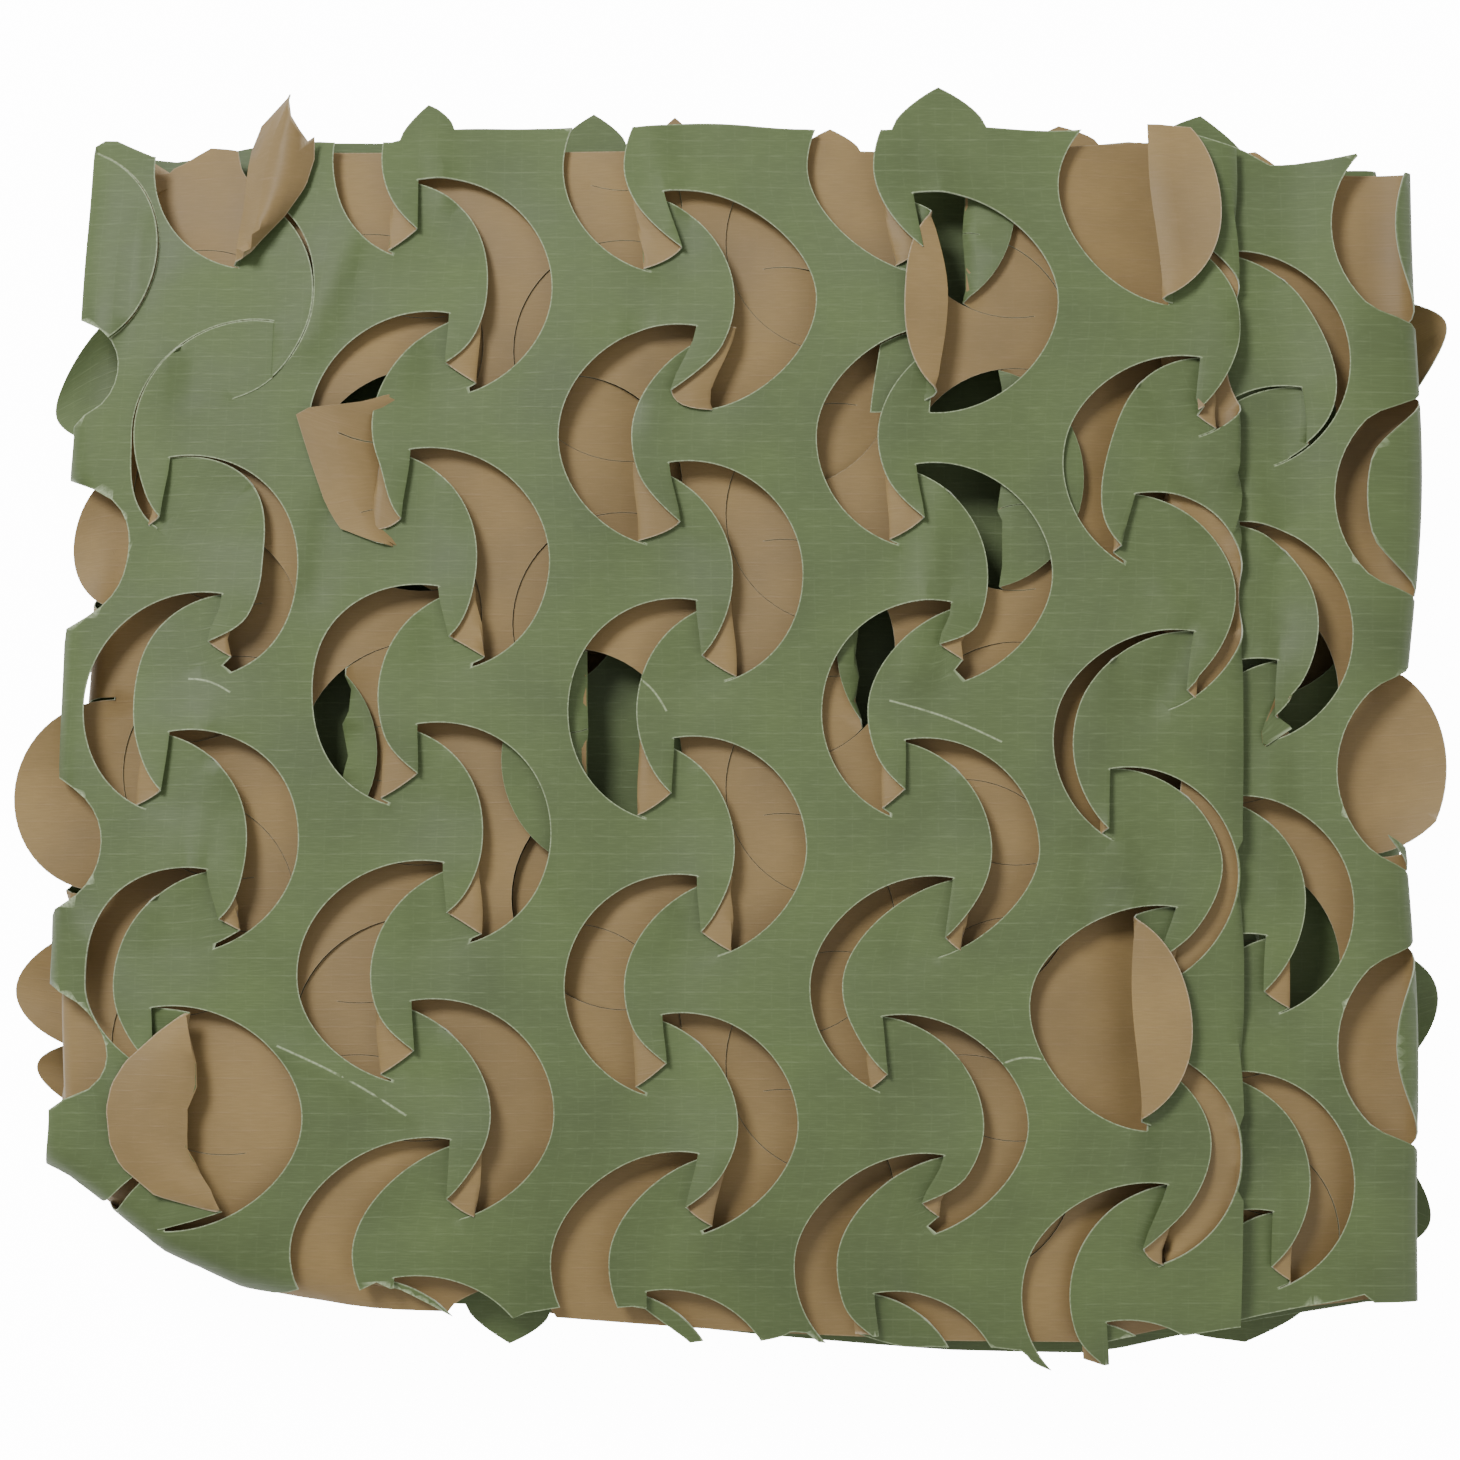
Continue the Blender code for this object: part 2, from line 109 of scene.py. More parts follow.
STANDING = {  # those that stand or curl: height of the curl, (along the fold, fold x, y, rim x, y)
    (0, 0): (5.0, ((-33, -146, 134.5, -146, 134.5), (-25, -144.5, 141, -140.5, 141.5),
                   (-15, -143.5, 149, -133.5, 149), (-5, -143.5, 157, -127.5, 158),
                   (0, -142.5, 165, -125, 167), (3.5, -139, 175, -125.5, 177.5),
                   (5.5, -132.5, 185, -131, 185.5))),
    (0, 7): (1.5, ((-32, -149, -141, -150, -141.5), (-22, -151, -134, -170, -136),
                   (-14, -156, -127, -180, -127.5), (-9, -160.5, -122, -183, -121),
                   (2, -160.5, -110, -184, -111), (8, -156.5, -105, -182.5, -104),
                   (16, -156, -98, -178.5, -97.5), (25, -158, -89, -169, -89),
                   (32, -159.5, -82.5, -160, -82.5))),
}
TUGS = {  # leaves whose lower corner is pulled aside, by (column, cut): in x and y
    (2, 1): (-8.0, -3.5),
    (2, 2): (3.0, -1.0),
    (0, 3): (-4.0, 3.0),
    (1, 2): (-3.0, -4.0),
    (3, 3): (-5.0, 5.0),
    (3, 7): (-4.0, 3.0),
    (4, 1): (3.0, 2.0),
    (4, 7): (-5.0, -3.0),
    (5, 3): (-9.0, -5.0),
    (5, 5): (-3.0, 4.0),
}
TUG_REACH = 17.0
TURN_RADIUS = 1.6  # of a folded leaf's bend
TURNED_RISE = 0.006
TURNED_SHRINK = 0.95
FLAT_END = -171.5  # the strip's left end in the flat cloth
STRETCHED_END = -247.5  # and once it is pulled open
KERF = 0.18  # width of a cut
FRAY = 0.45  # width of the pale frayed edge


def ease(t):
    t = min(max(t, 0.0), 1.0)
    return t * t * (3 - 2 * t)


def between(rows, key):
    """The numbers of a table at a key, mixed from the two rows round it."""
    key = min(max(key, rows[0][0]), rows[-1][0])
    for low, high in zip(rows, rows[1:]):
        if key <= high[0]:
            return [a + (b - a) * (key - low[0]) / (high[0] - low[0])
                    for a, b in zip(low[1:], high[1:])]


def bent(s, radius, turn):
    """How far round a bend s has come, and what is left of it past the bend."""
    return min(s / radius, turn), max(s - radius * turn, 0)


def leaning(x, y):
    lean = ease((FOLD_LEFT + LEAN_LENGTH - x) / LEAN_LENGTH)
    return x - LEAN * (lean * (0.5 - y / (EDGE_TOP - EDGE_BOTTOM)))


def settle(p):
    """The pad isn't square: it leans to the left and its lower left corner is drawn up."""
    corner = ease((CORNER_X - p.x) / (CORNER_X - FOLD_LEFT))
    corner *= ease((CORNER_Y - p.y) / (CORNER_Y - EDGE_BOTTOM))
    return Vector((leaning(p.x, p.y), p.y + CORNER_RISE * corner, p.z))


CORNER_EDGE = (  # lower left corner of the top plies: (x, y at which the cloth has turned down)
    (-210, -124), (-197, -130), (-186, -138), (-169, -152), (-146, -163), (-120, -168),
    (-88, -178), (-60, -200))
CORNER_ROLL = 7.0
CORNER_FLOOR = 1.0
CORNER_APART = 0.04


def settle_face(p):
    """The same for the top plies, whose cloth rolls down over the drawn-up corner."""
    x = leaning(p.x, p.y)
    start = between(CORNER_EDGE, x)[0] + CORNER_ROLL
    if start - p.y <= 0:
        return Vector((x, p.y, p.z))
    angle, past = bent(start - p.y, CORNER_ROLL, pi / 2)
    z = p.z - (CORNER_ROLL * (1 - cos(angle)) + past)
    return Vector((x, start - CORNER_ROLL * sin(angle), max(z, CORNER_FLOOR + CORNER_APART * p.z)))


def ply_height(ply, x, y):
    across = min(abs(x - (FOLD_LEFT + FOLD_RIGHT) / 2) / (SPAN / 2), 1.1)
    along = min(abs(y) / EDGE_TOP, 1.1)
    crown = PAD_HEIGHT * (1 - CROWN_SIDES * across ** 4 - CROWN_ENDS * along ** 6)
    ripple = RIPPLE * sin(x / 41 + 1.7 * ply) * cos(y / 35 - 1.1 * ply)
    base = BASE_ARCH * (1 - (across * along) ** 2)
    share = ply / TOP_PLY
    raised = RAISED[ply] * ease((x - FOLD_LEFT) / RAISED_FROM)
    raised *= ease((PLEAT_EDGE - PLEAT_OVERLAP - 2 - x) / 30)
    return PLY_MIDDLE + base + share * crown + min(share * 3, 1) * ripple + raised


def on_ply(ply, x, y, above=0.0):
    return Vector((x, y, ply_height(ply, x, y) + above))


def runs_left(ply):
    return ply % 2 == 0


def ply_start(ply):
    return ply * (SPAN + TURN)


TOP_START = ply_start(TOP_PLY)


def strip_u(ply, x):
    """Place along the strip of what lies at x in a ply."""
    if not runs_left(ply):
        return ply_start(ply) + x - FOLD_LEFT
    return ply_start(ply) + FOLD_RIGHT - x


def ply_and_x(u):
    """Ply of a place along the strip, and its x where the ply is flat."""
    ply = min(int(u // (SPAN + TURN)), TOP_PLY)
    s = min(u - ply_start(ply), SPAN)
    return ply, FOLD_RIGHT - s if runs_left(ply) else FOLD_LEFT + s


def fold_reach(ply, y):
    reach = 4.0 + 2.5 * sin(y / 52 + 2.3 * ply) + 1.5 * sin(y / 23 + ply)
    return reach + (3.0 if ply == TOP_PLY - 1 else 0.0)


def fold_point(ply, along, y):
    edge, side = (FOLD_LEFT, LEFT) if runs_left(ply) else (FOLD_RIGHT, RIGHT)
    low, high = ply_height(ply, edge, y), ply_height(ply + 1, edge, y)
    half = (high - low) / 2
    angle = pi * along
    x = edge + side * (half + fold_reach(ply, y)) * sin(angle)
    return Vector((x, y, low + half * (1 - cos(angle))))


def pleat_bend(x, side, lower, s, y):
    radius = PLEAT_RISE / 2
    x += side * radius * sin(s / radius)
    rise = radius * (1 - cos(s / radius))
    return Vector((x, y, ply_height(TOP_PLY, x, y) - lower + rise))


def face_point(s, y):
    """Point of the face at s from its right-hand fold, measured along the opened strip."""
    inner = PLEAT_EDGE - PLEAT_OVERLAP
    if s < FOLD_RIGHT - inner:
        x = FOLD_RIGHT - s
        return on_ply(TOP_PLY, x, y, -2 * PLEAT_RISE * ease(s / PLEAT_RAMP))
    s -= FOLD_RIGHT - inner
    if s < PLEAT_BEND:
        return pleat_bend(inner, LEFT, 2 * PLEAT_RISE, s, y)
    s -= PLEAT_BEND
    if s < PLEAT_OVERLAP:
        return on_ply(TOP_PLY, inner + s, y, -PLEAT_RISE)
    s -= PLEAT_OVERLAP
    if s < PLEAT_BEND:
        return pleat_bend(PLEAT_EDGE, RIGHT, PLEAT_RISE, s, y)
    x = PLEAT_EDGE - (s - PLEAT_BEND)
    if x > END_START:
        return on_ply(TOP_PLY, x, y)
    angle, past = bent(END_START - x, END_RADIUS, pi / 2)
    down = END_RADIUS * (1 - cos(angle)) + past
    height = ply_height(TOP_PLY, END_START, y)
    return Vector((END_START - END_RADIUS * sin(angle), y, height - down))


def folded(u, y):
    """Where a point of the opened strip lies once the strip is folded back and forth."""
    ply, x = ply_and_x(u)
    s = u - ply_start(ply)
    if ply == TOP_PLY:
        return face_point(s, y)
    if s > SPAN:
        return fold_point(ply, (s - SPAN) / TURN, y)
    return on_ply(ply, x, y)


def strip_offsets(q):
    """How far each strip between two columns of cuts has moved sideways, at a height q."""
    along = (FIRST_OPENING - q) / CUT_STEP
    row = min(max(int(along), 0), len(OPENINGS) - 2)
    mix = ease(along - row)
    moved = [a + (b - a) * mix for a, b in zip(OPENINGS[row], OPENINGS[row + 1])]
    offsets = [moved[0]]
    for opening in moved[1:]:
        offsets.append(offsets[-1] + opening)
    return offsets + [0.0]


def opening_at(column, q):
    offsets = strip_offsets(q)
    return offsets[column + 1] - offsets[column]


def rim(x, y, reach, height, turns):
    """Points of a half-round cut, at these angles from the middle of its bulge."""
    return [(x + reach * cos(a), y + height * sin(a)) for a in turns]


def half_width(v):
    """From the line through a cut's centre to its rim, at v above or below the centre."""
    return sqrt(max(CUT_RADIUS ** 2 - v * v, 1.0))


class Cut:
    """One half-round cut, which bulges left or right of its ends, and the leaf inside it."""

    def __init__(self, columns, turned, column, row):
        base, first = columns[column]
        self.bulge = LEFT if row % 2 == 0 else RIGHT
        self.x = base + (BACK_TO_BACK if self.bulge == LEFT else 0)
        self.y = first - CUT_STEP * row
        self.turned = (column, row) in turned
        self.fold = self.x + self.bulge * turned.get((column, row), 0.0)

    def holds_folded(self, x, y, margin=0.0):
        """Whether a point is on the part of the leaf that has folded over."""
        beyond = (x - self.fold) * self.bulge > -margin
        return self.turned and beyond and hypot(x - self.x, y - self.y) < CUT_RADIUS + margin

    def rim(self, turns):
        return rim(self.x, self.y, self.bulge * CUT_RADIUS, CUT_RADIUS, turns)


class LeafCut(Cut):
    """A cut of the face."""

    def __init__(self, column, row):
        super().__init__(COLUMNS, TURNED, column, row)
        self.column, self.row = column, row
        self.chord = self.x - self.bulge * NECK
        self.foot = self.fold - self.bulge * opening_at(column, self.y - CUT_STEP / 2)
        luck = random.Random(31 * column + row)
        self.lift = luck.uniform(0.3, 1.6)
        self.tilt = luck.uniform(-0.5, 0.5)
        pulled = (0.0, 0.0) if self.turned else (luck.uniform(-1.5, 1.5), luck.uniform(-1.5, 2.5))
        self.tug = TUGS.get((column, row), pulled)

    def holds(self, p, q):
        beyond = (p - self.chord) * self.bulge > 0
        return beyond and hypot(p - self.x, q - self.y) < CUT_RADIUS

    def lower_end(self):
        """Where the cut stops at its foot, a little past the pleat between it and the next leaf."""
        if self.turned:
            return self.foot
        base = COLUMNS[self.column][0]
        apart = opening_at(self.column, self.y - CUT_STEP / 2)
        tail = 1.5 + self.lift
        if self.bulge == LEFT:
            return base - NECK + apart / 2 + tail
        return base + BACK_TO_BACK + NECK - max(apart / 2, 8) - tail

    def arc(self, steps=52):
        upper = acos((self.chord - self.x) * self.bulge / CUT_RADIUS)
        lower = acos((self.lower_end() - self.x) * self.bulge / CUT_RADIUS)
        return self.rim([upper - (upper + lower) * k / steps for k in range(steps + 1)])

    def fold_cut(self):
        """The cut that frees a folded leaf's tail from the leaf below it."""
        next_x = COLUMNS[self.column][0] + (BACK_TO_BACK if self.bulge == RIGHT else 0)
        low = self.y - sqrt(CUT_RADIUS ** 2 - (self.foot - self.x) ** 2)
        high = self.y - CUT_STEP + sqrt(CUT_RADIUS ** 2 - (self.foot - next_x) ** 2) + 0.3
        return [(self.foot, low + (high - low) * k / 8) for k in range(9)]


ROWS_OF_CUTS = 10
LEAVES = [[LeafCut(column, row) for row in range(ROWS_OF_CUTS)] for column in range(len(COLUMNS))]


def column_of(p):
    for column, (base, _) in enumerate(COLUMNS):
        if p < base + CUT_RADIUS + KERF:
            return column
    return len(COLUMNS) - 1


def leaf_at(column, bulge, p, q):
    held = (leaf for leaf in LEAVES[column] if leaf.bulge == bulge and leaf.holds(p, q))
    return next(held, None)


def turned_at(p, q, margin=0.0):
    """The folded-over leaf that holds a point past its fold."""
    leaves = (LEAVES[column][row] for column, row in TURNED)
    return next((leaf for leaf in leaves if leaf.holds_folded(p, q, margin)), None)


LAYER_LEVEL = 1.0  # between the layers where two leaves overlap, once a cut is well open
LEVEL_SHARE = 0.28  # and as a share of the opening before that
TAIL_LEVEL = 1.2  # how much deeper a folded leaf's tail goes under the leaf below it
CROSS_HALF = 16  # half the height over which two leaves of a column can overlap
LEAF_TWIST = 8.5  # a leaf goes from under its neighbour to over it, this far from its middle
ROOT_REACH = 24.0  # how far out a leaf is still held level by its root


def layers(apart):
    """How far overlapping leaves lie apart, and how long the bends between them are."""
    level = min(LAYER_LEVEL, LEVEL_SHARE * apart)
    return level, level * pi / 4


def opened(p, q):
    """Place and level of a point of the flat face once the cloth is pulled open sideways."""
    column = column_of(p)
    base = COLUMNS[column][0]
    offsets = strip_offsets(q)
    if p < base - CUT_RADIUS - NECK and column == 0:
        start = STRETCHED_END - FLAT_END
        return p + start + (offsets[0] - start) * ease((p - FLAT_END) / 12), 0.0
    before, after = offsets[column], offsets[column + 1]
    apart = after - before
    level, bend = layers(apart)
    bend = max(bend, 1e-6)
    right_leaf = leaf_at(column, RIGHT, p, q)
    left_leaf = leaf_at(column, LEFT, p, q)
    if right_leaf and left_leaf:
        upper = left_leaf if left_leaf.y > right_leaf.y else right_leaf
        if upper.turned:
            own, other = (before, after) if upper.bulge == RIGHT else (after, before)
            if (p - upper.foot) * upper.bulge > 0:
                return p + own, -(level + TAIL_LEVEL) * ease(abs(upper.fold - p) / 3)
            return p + other, -level
        if upper is right_leaf:
            high, low = left_leaf.chord, left_leaf.chord - apart / 2
        else:
            high, low = right_leaf.chord + apart / 2, right_leaf.chord
        share = min(max((high - p) / max(apart / 2, 1e-6), 0.0), 1.0)
        z = ease((p - high + bend) / (2 * bend)) - 1 + ease((p - low + bend) / (2 * bend))
        return p + before + share * apart, z * (level if upper is right_leaf else -level)
    if right_leaf or left_leaf:
        leaf = right_leaf or left_leaf
        v = q - leaf.y
        inner = ease((p - leaf.chord) * leaf.bulge / ROOT_REACH)
        held = inner if abs(v) < CROSS_HALF else 1.0
        z = -level * min(max(v / LEAF_TWIST, -1.0), 1.0) * held
        r = hypot(p - leaf.x, v) / CUT_RADIUS
        z += (leaf.lift + leaf.tilt * v / CUT_RADIUS) * ease((r - 0.4) / 0.6) * inner
        return p + (before if right_leaf else after), z
    middle = base + BACK_TO_BACK / 2
    return p + (before if p < middle else after), 0.0


def tugged(p, q):
    """How far a point near a leaf's lower corner is pulled aside."""
    column = column_of(p)
    moved = Vector((0, 0, 0))
    for leaf in LEAVES[column]:
        if not leaf.holds(p, q):
            continue
        base = COLUMNS[column][0]
        corner = base + BACK_TO_BACK + NECK - 5 if leaf.bulge == RIGHT else base - NECK
        away = hypot(p - corner, q - (leaf.y - 25))
        pull = ease(1 - away / TUG_REACH)
        moved += Vector((leaf.tug[0] * pull, leaf.tug[1] * pull, 0.5 * pull))
    return moved


def turned_point(leaf, p, q):
    """Point of a leaf that lies folded back over itself, brown side up."""
    out = (p - leaf.fold) * leaf.bulge
    offsets = strip_offsets(q)
    start = leaf.fold + (offsets[leaf.column] if leaf.bulge == RIGHT else offsets[leaf.column + 1])
    angle, flat = bent(out, TURN_RADIUS, pi)
    x = start + leaf.bulge * (TURN_RADIUS * sin(angle) - TURNED_SHRINK * flat)
    point = folded(strip_u(TOP_PLY, x), q)
    point.z += TURN_RADIUS * (1 - cos(angle)) + TURNED_RISE * flat * flat
    if (leaf.column, leaf.row) not in STANDING:
        return settle_face(point)
    curl, rows = STANDING[leaf.column, leaf.row]
    v = q - leaf.y
    widest = half_width(v) - (leaf.fold - leaf.x) * leaf.bulge
    share = min(flat / max(widest - TURN_RADIUS * pi, 1.0), 1.0)
    fold_x, fold_y, rim_x, rim_y = between(rows, v)
    stands = ease(out / (TURN_RADIUS * pi))
    shaped = Vector((fold_x + (rim_x - fold_x) * share, fold_y + (rim_y - fold_y) * share, 0))
    below = ply_height(TOP_PLY, shaped.x, min(shaped.y, EDGE_TOP - 4))
    shaped.z = below + 2 * TURN_RADIUS + curl * sin(pi * share)
    return settle_face(point).lerp(shaped, stands)


# The ply under the face, brown side up: its cuts stay shut but for a few
UNDER_PLY = TOP_PLY - 1
UNDER_COLUMNS = (  # (x, y of the first cut)
    (-158.0, 148.0), (-108.0, 152.0), (-50.0, 190.0),
    (12.0, 142.0), (64.0, 152.0), (142.0, 130.0),
)
UNDER_SAG = {  # how far a leaf hangs below its cut, by (column, cut)
    (0, 3): 3.0, (1, 2): 4.0, (1, 6): 1.5, (2, 3): 3.0, (2, 6): 4.0, (3, 1): 3.0, (3, 7): 2.0,
    (4, 4): 2.0}
SHUT_SAG = 0.7
LEAF_ROOT = 0.15
UNDER_TURNED = {  # leaves folded back, by (column, cut): how far the fold is past the centre
    (1, 4): 20.0, (2, 5): 4.0, (3, 3): 22.0, (4, 0): 14.0, (4, 2): 4.0, (5, 1): 12.0, (5, 3): 12.0,
    (5, 5): 8.0}
UNDER_TURN = 1.2
UNDER_RISE = 0.002
UNDER_SHRINK = 0.96
RISEN_LEAF = (1, 2)
RISEN_ABOVE = 1.8
RISEN_ENDS = 0.3  # the share of its rim that slopes at each end
RISEN_RIM = (  # a leaf that comes up through the opening above it: (along the cut, rim x, y)
    (-33, -93, 50), (-28, -98, 51.5), (-20, -105, 53), (-12, -115, 57), (-4, -119, 64),
    (4, -124, 78), (10, -128.5, 92), (20, -110, 94), (28, -99, 97), (33, -92, 104))


class UnderCut(Cut):
    """A cut of the ply under the face, which lies brown side up."""

    def __init__(self, column, row):
        super().__init__(UNDER_COLUMNS, UNDER_TURNED, column, row)
        self.sag = UNDER_SAG.get((column, row), SHUT_SAG)
        self.rises = (column, row) == RISEN_LEAF

    def folded_back(self, x, y):
        """Where a point of this leaf lies once the leaf has turned over, green side up."""
        out = (x - self.fold) * self.bulge
        angle, flat = bent(out, UNDER_TURN, pi)
        over = self.fold + self.bulge * (UNDER_TURN * sin(angle) - UNDER_SHRINK * flat)
        point = on_ply(UNDER_PLY, over, y)
        point.z += UNDER_TURN * (1 - cos(angle)) + UNDER_RISE * flat * flat
        return point

    def risen(self, x, y):
        """Where a point of the leaf that rises lies: free side over the face, root in the ply."""
        v = y - self.y
        share = (self.x - x) / half_width(v)
        if not 0 < share <= 1.0 or abs(v) > CUT_RADIUS:
            return None
        rim_x, rim_y = between(RISEN_RIM, v)
        root, free = on_ply(UNDER_PLY, self.x, y), on_ply(UNDER_PLY, rim_x, rim_y)
        above = ply_height(TOP_PLY, rim_x, rim_y) + RISEN_ABOVE - free.z
        free.z += above * ease((1 - abs(v) / CUT_RADIUS) / RISEN_ENDS)
        point = root.lerp(free, share)
        point.z = root.z + (free.z - root.z) * ease((share - 0.05) / 0.7)
        return point

    def arc(self, steps=36):
        reach = radians(100)
        points = self.rim([reach * (1 - 2 * k / steps) for k in range(steps + 1)])
        return [(strip_u(UNDER_PLY, x), y) for x, y in points
                if EDGE_BOTTOM + 14 < y < EDGE_TOP - 12]

    def level(self, x, y):
        """The leaf hangs a little below the cloth round it."""
        r = hypot(x - self.x, y - self.y) / CUT_RADIUS
        out = (x - self.x) * self.bulge / CUT_RADIUS
        if r > 1 or out < -LEAF_ROOT:
            return 0.0
        return -self.sag * ease((out + LEAF_ROOT) / 1.1)


UNDER_CUTS = [UnderCut(column, row) for column in range(len(UNDER_COLUMNS)) for row in range(8)
              if (column, row) != (0, 7)]


# Open cuts that are whole crescents: (ply, x, y, bulge, width).  Four show at the right fold, and
# the rest are in the hidden plies.
CRESCENTS = [(TOP_PLY, 205, 147, LEFT, 15), (TOP_PLY, 205, 67, LEFT, 9),
             (TOP_PLY, 205, -13, LEFT, 9), (TOP_PLY, 205, -93, LEFT, 14)]
for hidden in range(UNDER_PLY):
    every = 2 if hidden == 0 else 3
    for column in range(5):
        for row in range(4):
            if (column + row + hidden) % every == 0:
                x, y = -146 + 72 * column + 9 * (hidden % 3), 121 - 80 * row - 7 * (hidden % 4)
                bulge = RIGHT if row % 2 else LEFT
                CRESCENTS.append((hidden, x, y, bulge, 12 + 2 * (column % 3)))


HALF_ROUND = [pi * (0.5 - k / 28) for k in range(29)]


class Crescent:
    """An opening between a half-round cut and its leaf, which has drawn back by its width."""
    radius = 32.0

    def __init__(self, ply, x, y, bulge, width):
        self.u, self.v = strip_u(ply, x), y
        self.way = -bulge if runs_left(ply) else bulge
        self.leaf = self.radius - width

    def hole(self):
        outer = rim(self.u, self.v, self.way * self.radius, self.radius, HALF_ROUND)
        return outer + rim(self.u, self.v, self.way * self.leaf, self.radius, HALF_ROUND[-2:0:-1])

    def lift(self, u, v):
        out = (u - self.u) * self.way
        if out <= 0 or (out / self.leaf) ** 2 + ((v - self.v) / self.radius) ** 2 > 1.02:
            return 0.0
        return 2.0 * (out / self.leaf) ** 2


OPEN_CRESCENTS = [Crescent(*row) for row in CRESCENTS]

# Leaves that stick straight out at the folds: (ply, side, centre y, radius, slope, curl,
# skew of the tip, reach as a share of the radius)
FOLD_LEAVES = (
    (5, LEFT, -20, 29, 0.05, 0.2, 0), (5, LEFT, 55, 21, -0.15, 0.3, -2, 0.7),
    (4, LEFT, 104, 24, -0.30, 0.5, -9), (3, LEFT, -84, 29, 0.0, 0.2, 5),
    (1, LEFT, -124, 24, 0.10, 0.2, 6), (5, RIGHT, -10, 28, 0.10, 0.2, 2),
    (3, RIGHT, 108, 26, 0.35, 0.4, 12), (4, RIGHT, -84, 22, -0.10, 0.2, 5),
    (2, RIGHT, -136, 22, 0.0, 0.2, -8),
)
SLIT = 0.8  # width of the cut round each of them
PINCH = 0.045  # a skewed leaf narrows by this much a millimetre


class FoldLeaf:
    """A leaf that stays straight where the cloth round it turns."""

    def __init__(self, ply, side, y, radius, slope, curl, skew, reach=1.0):
        self.ply, self.side, self.v, self.radius = ply, side, y, radius
        self.slope, self.curl, self.skew, self.reach = slope, curl, skew, reach
        self.x = FOLD_LEFT if side == LEFT else FOLD_RIGHT
        self.u = strip_u(ply, self.x)
        self.way = -side if runs_left(ply) else side

    def hole(self):
        outer, inner = self.radius, self.radius - SLIT
        loop = rim(self.u, self.v, self.way * outer, outer, HALF_ROUND)
        return loop + rim(self.u, self.v, self.way * inner, inner, HALF_ROUND[::-1])

    def place(self, u, v):
        out = (u - self.u) * self.way
        if out < 1e-4 or hypot(out, v - self.v) > self.radius - SLIT / 2:
            return None
        across = (v - self.v) / self.radius
        rise = self.slope * out * ease(out / self.radius) + self.curl * out * across * across
        shift = self.skew * (out / self.radius) ** 1.5
        pinch = 1 - PINCH * abs(self.skew) * out / self.radius
        x = self.x + self.side * out * self.reach
        y = self.v + (v - self.v) * pinch + shift
        return Vector((x, y, ply_height(self.ply, self.x, v) + rise))


LOOSE_LEAVES = [FoldLeaf(*row) for row in FOLD_LEAVES]

# The strip's edges, which cut through leaves
UPPER_LINE = (  # the face's upper edge: (x, y)
    (-200, 168), (-186, 175), (-170, 166.5), (-150, 172), (-125, 173), (-108, 171), (-90, 175),
    (-60, 177), (0, 177), (60, 176), (100, 176.5), (122, 177), (146, 171), (156, 166), (190, 171))
LOWER_LINE = (  # and its lower edge
    (-200, -170), (-128, -166), (-115, -160), (-96, -164), (-80, -172), (-53, -168), (-30, -168),
    (-12, -177), (16, -175), (47, -181), (75, -180), (104, -183), (132, -177), (144, -174),
    (165, -168), (190, -163))
UNDER_SHORT = 4.5  # the ply under the face ends this much lower at the top
TIP_CURVE = 0.62
EDGE_LEAVES = (  # leaf tips and, below 0, notches: (ply, edge, centre x, half width, reach)
    (6, EDGE_TOP, 58, 14, 13), (6, EDGE_TOP, -93, 8, 9), (5, EDGE_TOP, -157, 12, 6),
    (5, EDGE_TOP, -141, 7, -12), (4, EDGE_TOP, -44, 10, 10), (3, EDGE_TOP, -20, 8, 11),
    (4, EDGE_TOP, 137, 14, 12), (5, EDGE_TOP, 152, 8, 5), (5, EDGE_TOP, 26, 9, 7),
    (3, EDGE_TOP, 95, 12, 7), (6, EDGE_BOTTOM, 105, 10, 5), (5, EDGE_BOTTOM, -69, 15, -9),
    (4, EDGE_BOTTOM, -68, 12, 11), (6, EDGE_BOTTOM, -12, 14, 3), (3, EDGE_BOTTOM, -150, 16, 7),
    (2, EDGE_BOTTOM, 150, 18, 8), (1, EDGE_TOP, 60, 18, 8),
)
FLAT_LENGTH = strip_u(TOP_PLY, FLAT_END)
END_BITES = (  # scallops in the strip's end: (middle y, half width, depth)
    (-34, 21, 27), (-92, 17, 22), (49, 22, 29), (104, 14, 13))
END_BAND = 35  # how far in from the end and the edges the outline reaches
EDGE_BAND = 12


def flat_of(x, q):
    """Place in the flat face of what ends up at x, at the height q."""
    goal = x - PLEAT_LENGTH if x < PLEAT_EDGE else x
    places = [FLAT_END + k for k in range(int(FOLD_RIGHT - FLAT_END))]
    return min(places, key=lambda p: abs(opened(p, q)[0] - goal))


def strip_x(u, edge):
    """Roughly where a place along the flat strip's edge ends up across the pad."""
    ply, x = ply_and_x(u)
    if ply == TOP_PLY:
        x, _ = opened(FOLD_RIGHT - (u - TOP_START), edge)
        return x + PLEAT_LENGTH if x < PLEAT_EDGE - PLEAT_LENGTH else max(x, PLEAT_EDGE)
    return x


def edge_v(u, edge):
    """Height of the strip's edge at u, slightly uneven."""
    x = strip_x(u, edge)
    if u > TOP_START:
        return between(UPPER_LINE if edge == EDGE_TOP else LOWER_LINE, x)[0] + 0.8 * sin(u / 9)
    drawn = -UNDER_SHORT if edge == EDGE_TOP and u > ply_start(UNDER_PLY) else 0.0
    line = edge + drawn + between(UPPER_DIP if edge == EDGE_TOP else LOWER_SAG, x)[0]
    return line + 1.5 * sin(u / 61 + edge) + sin(u / 143)


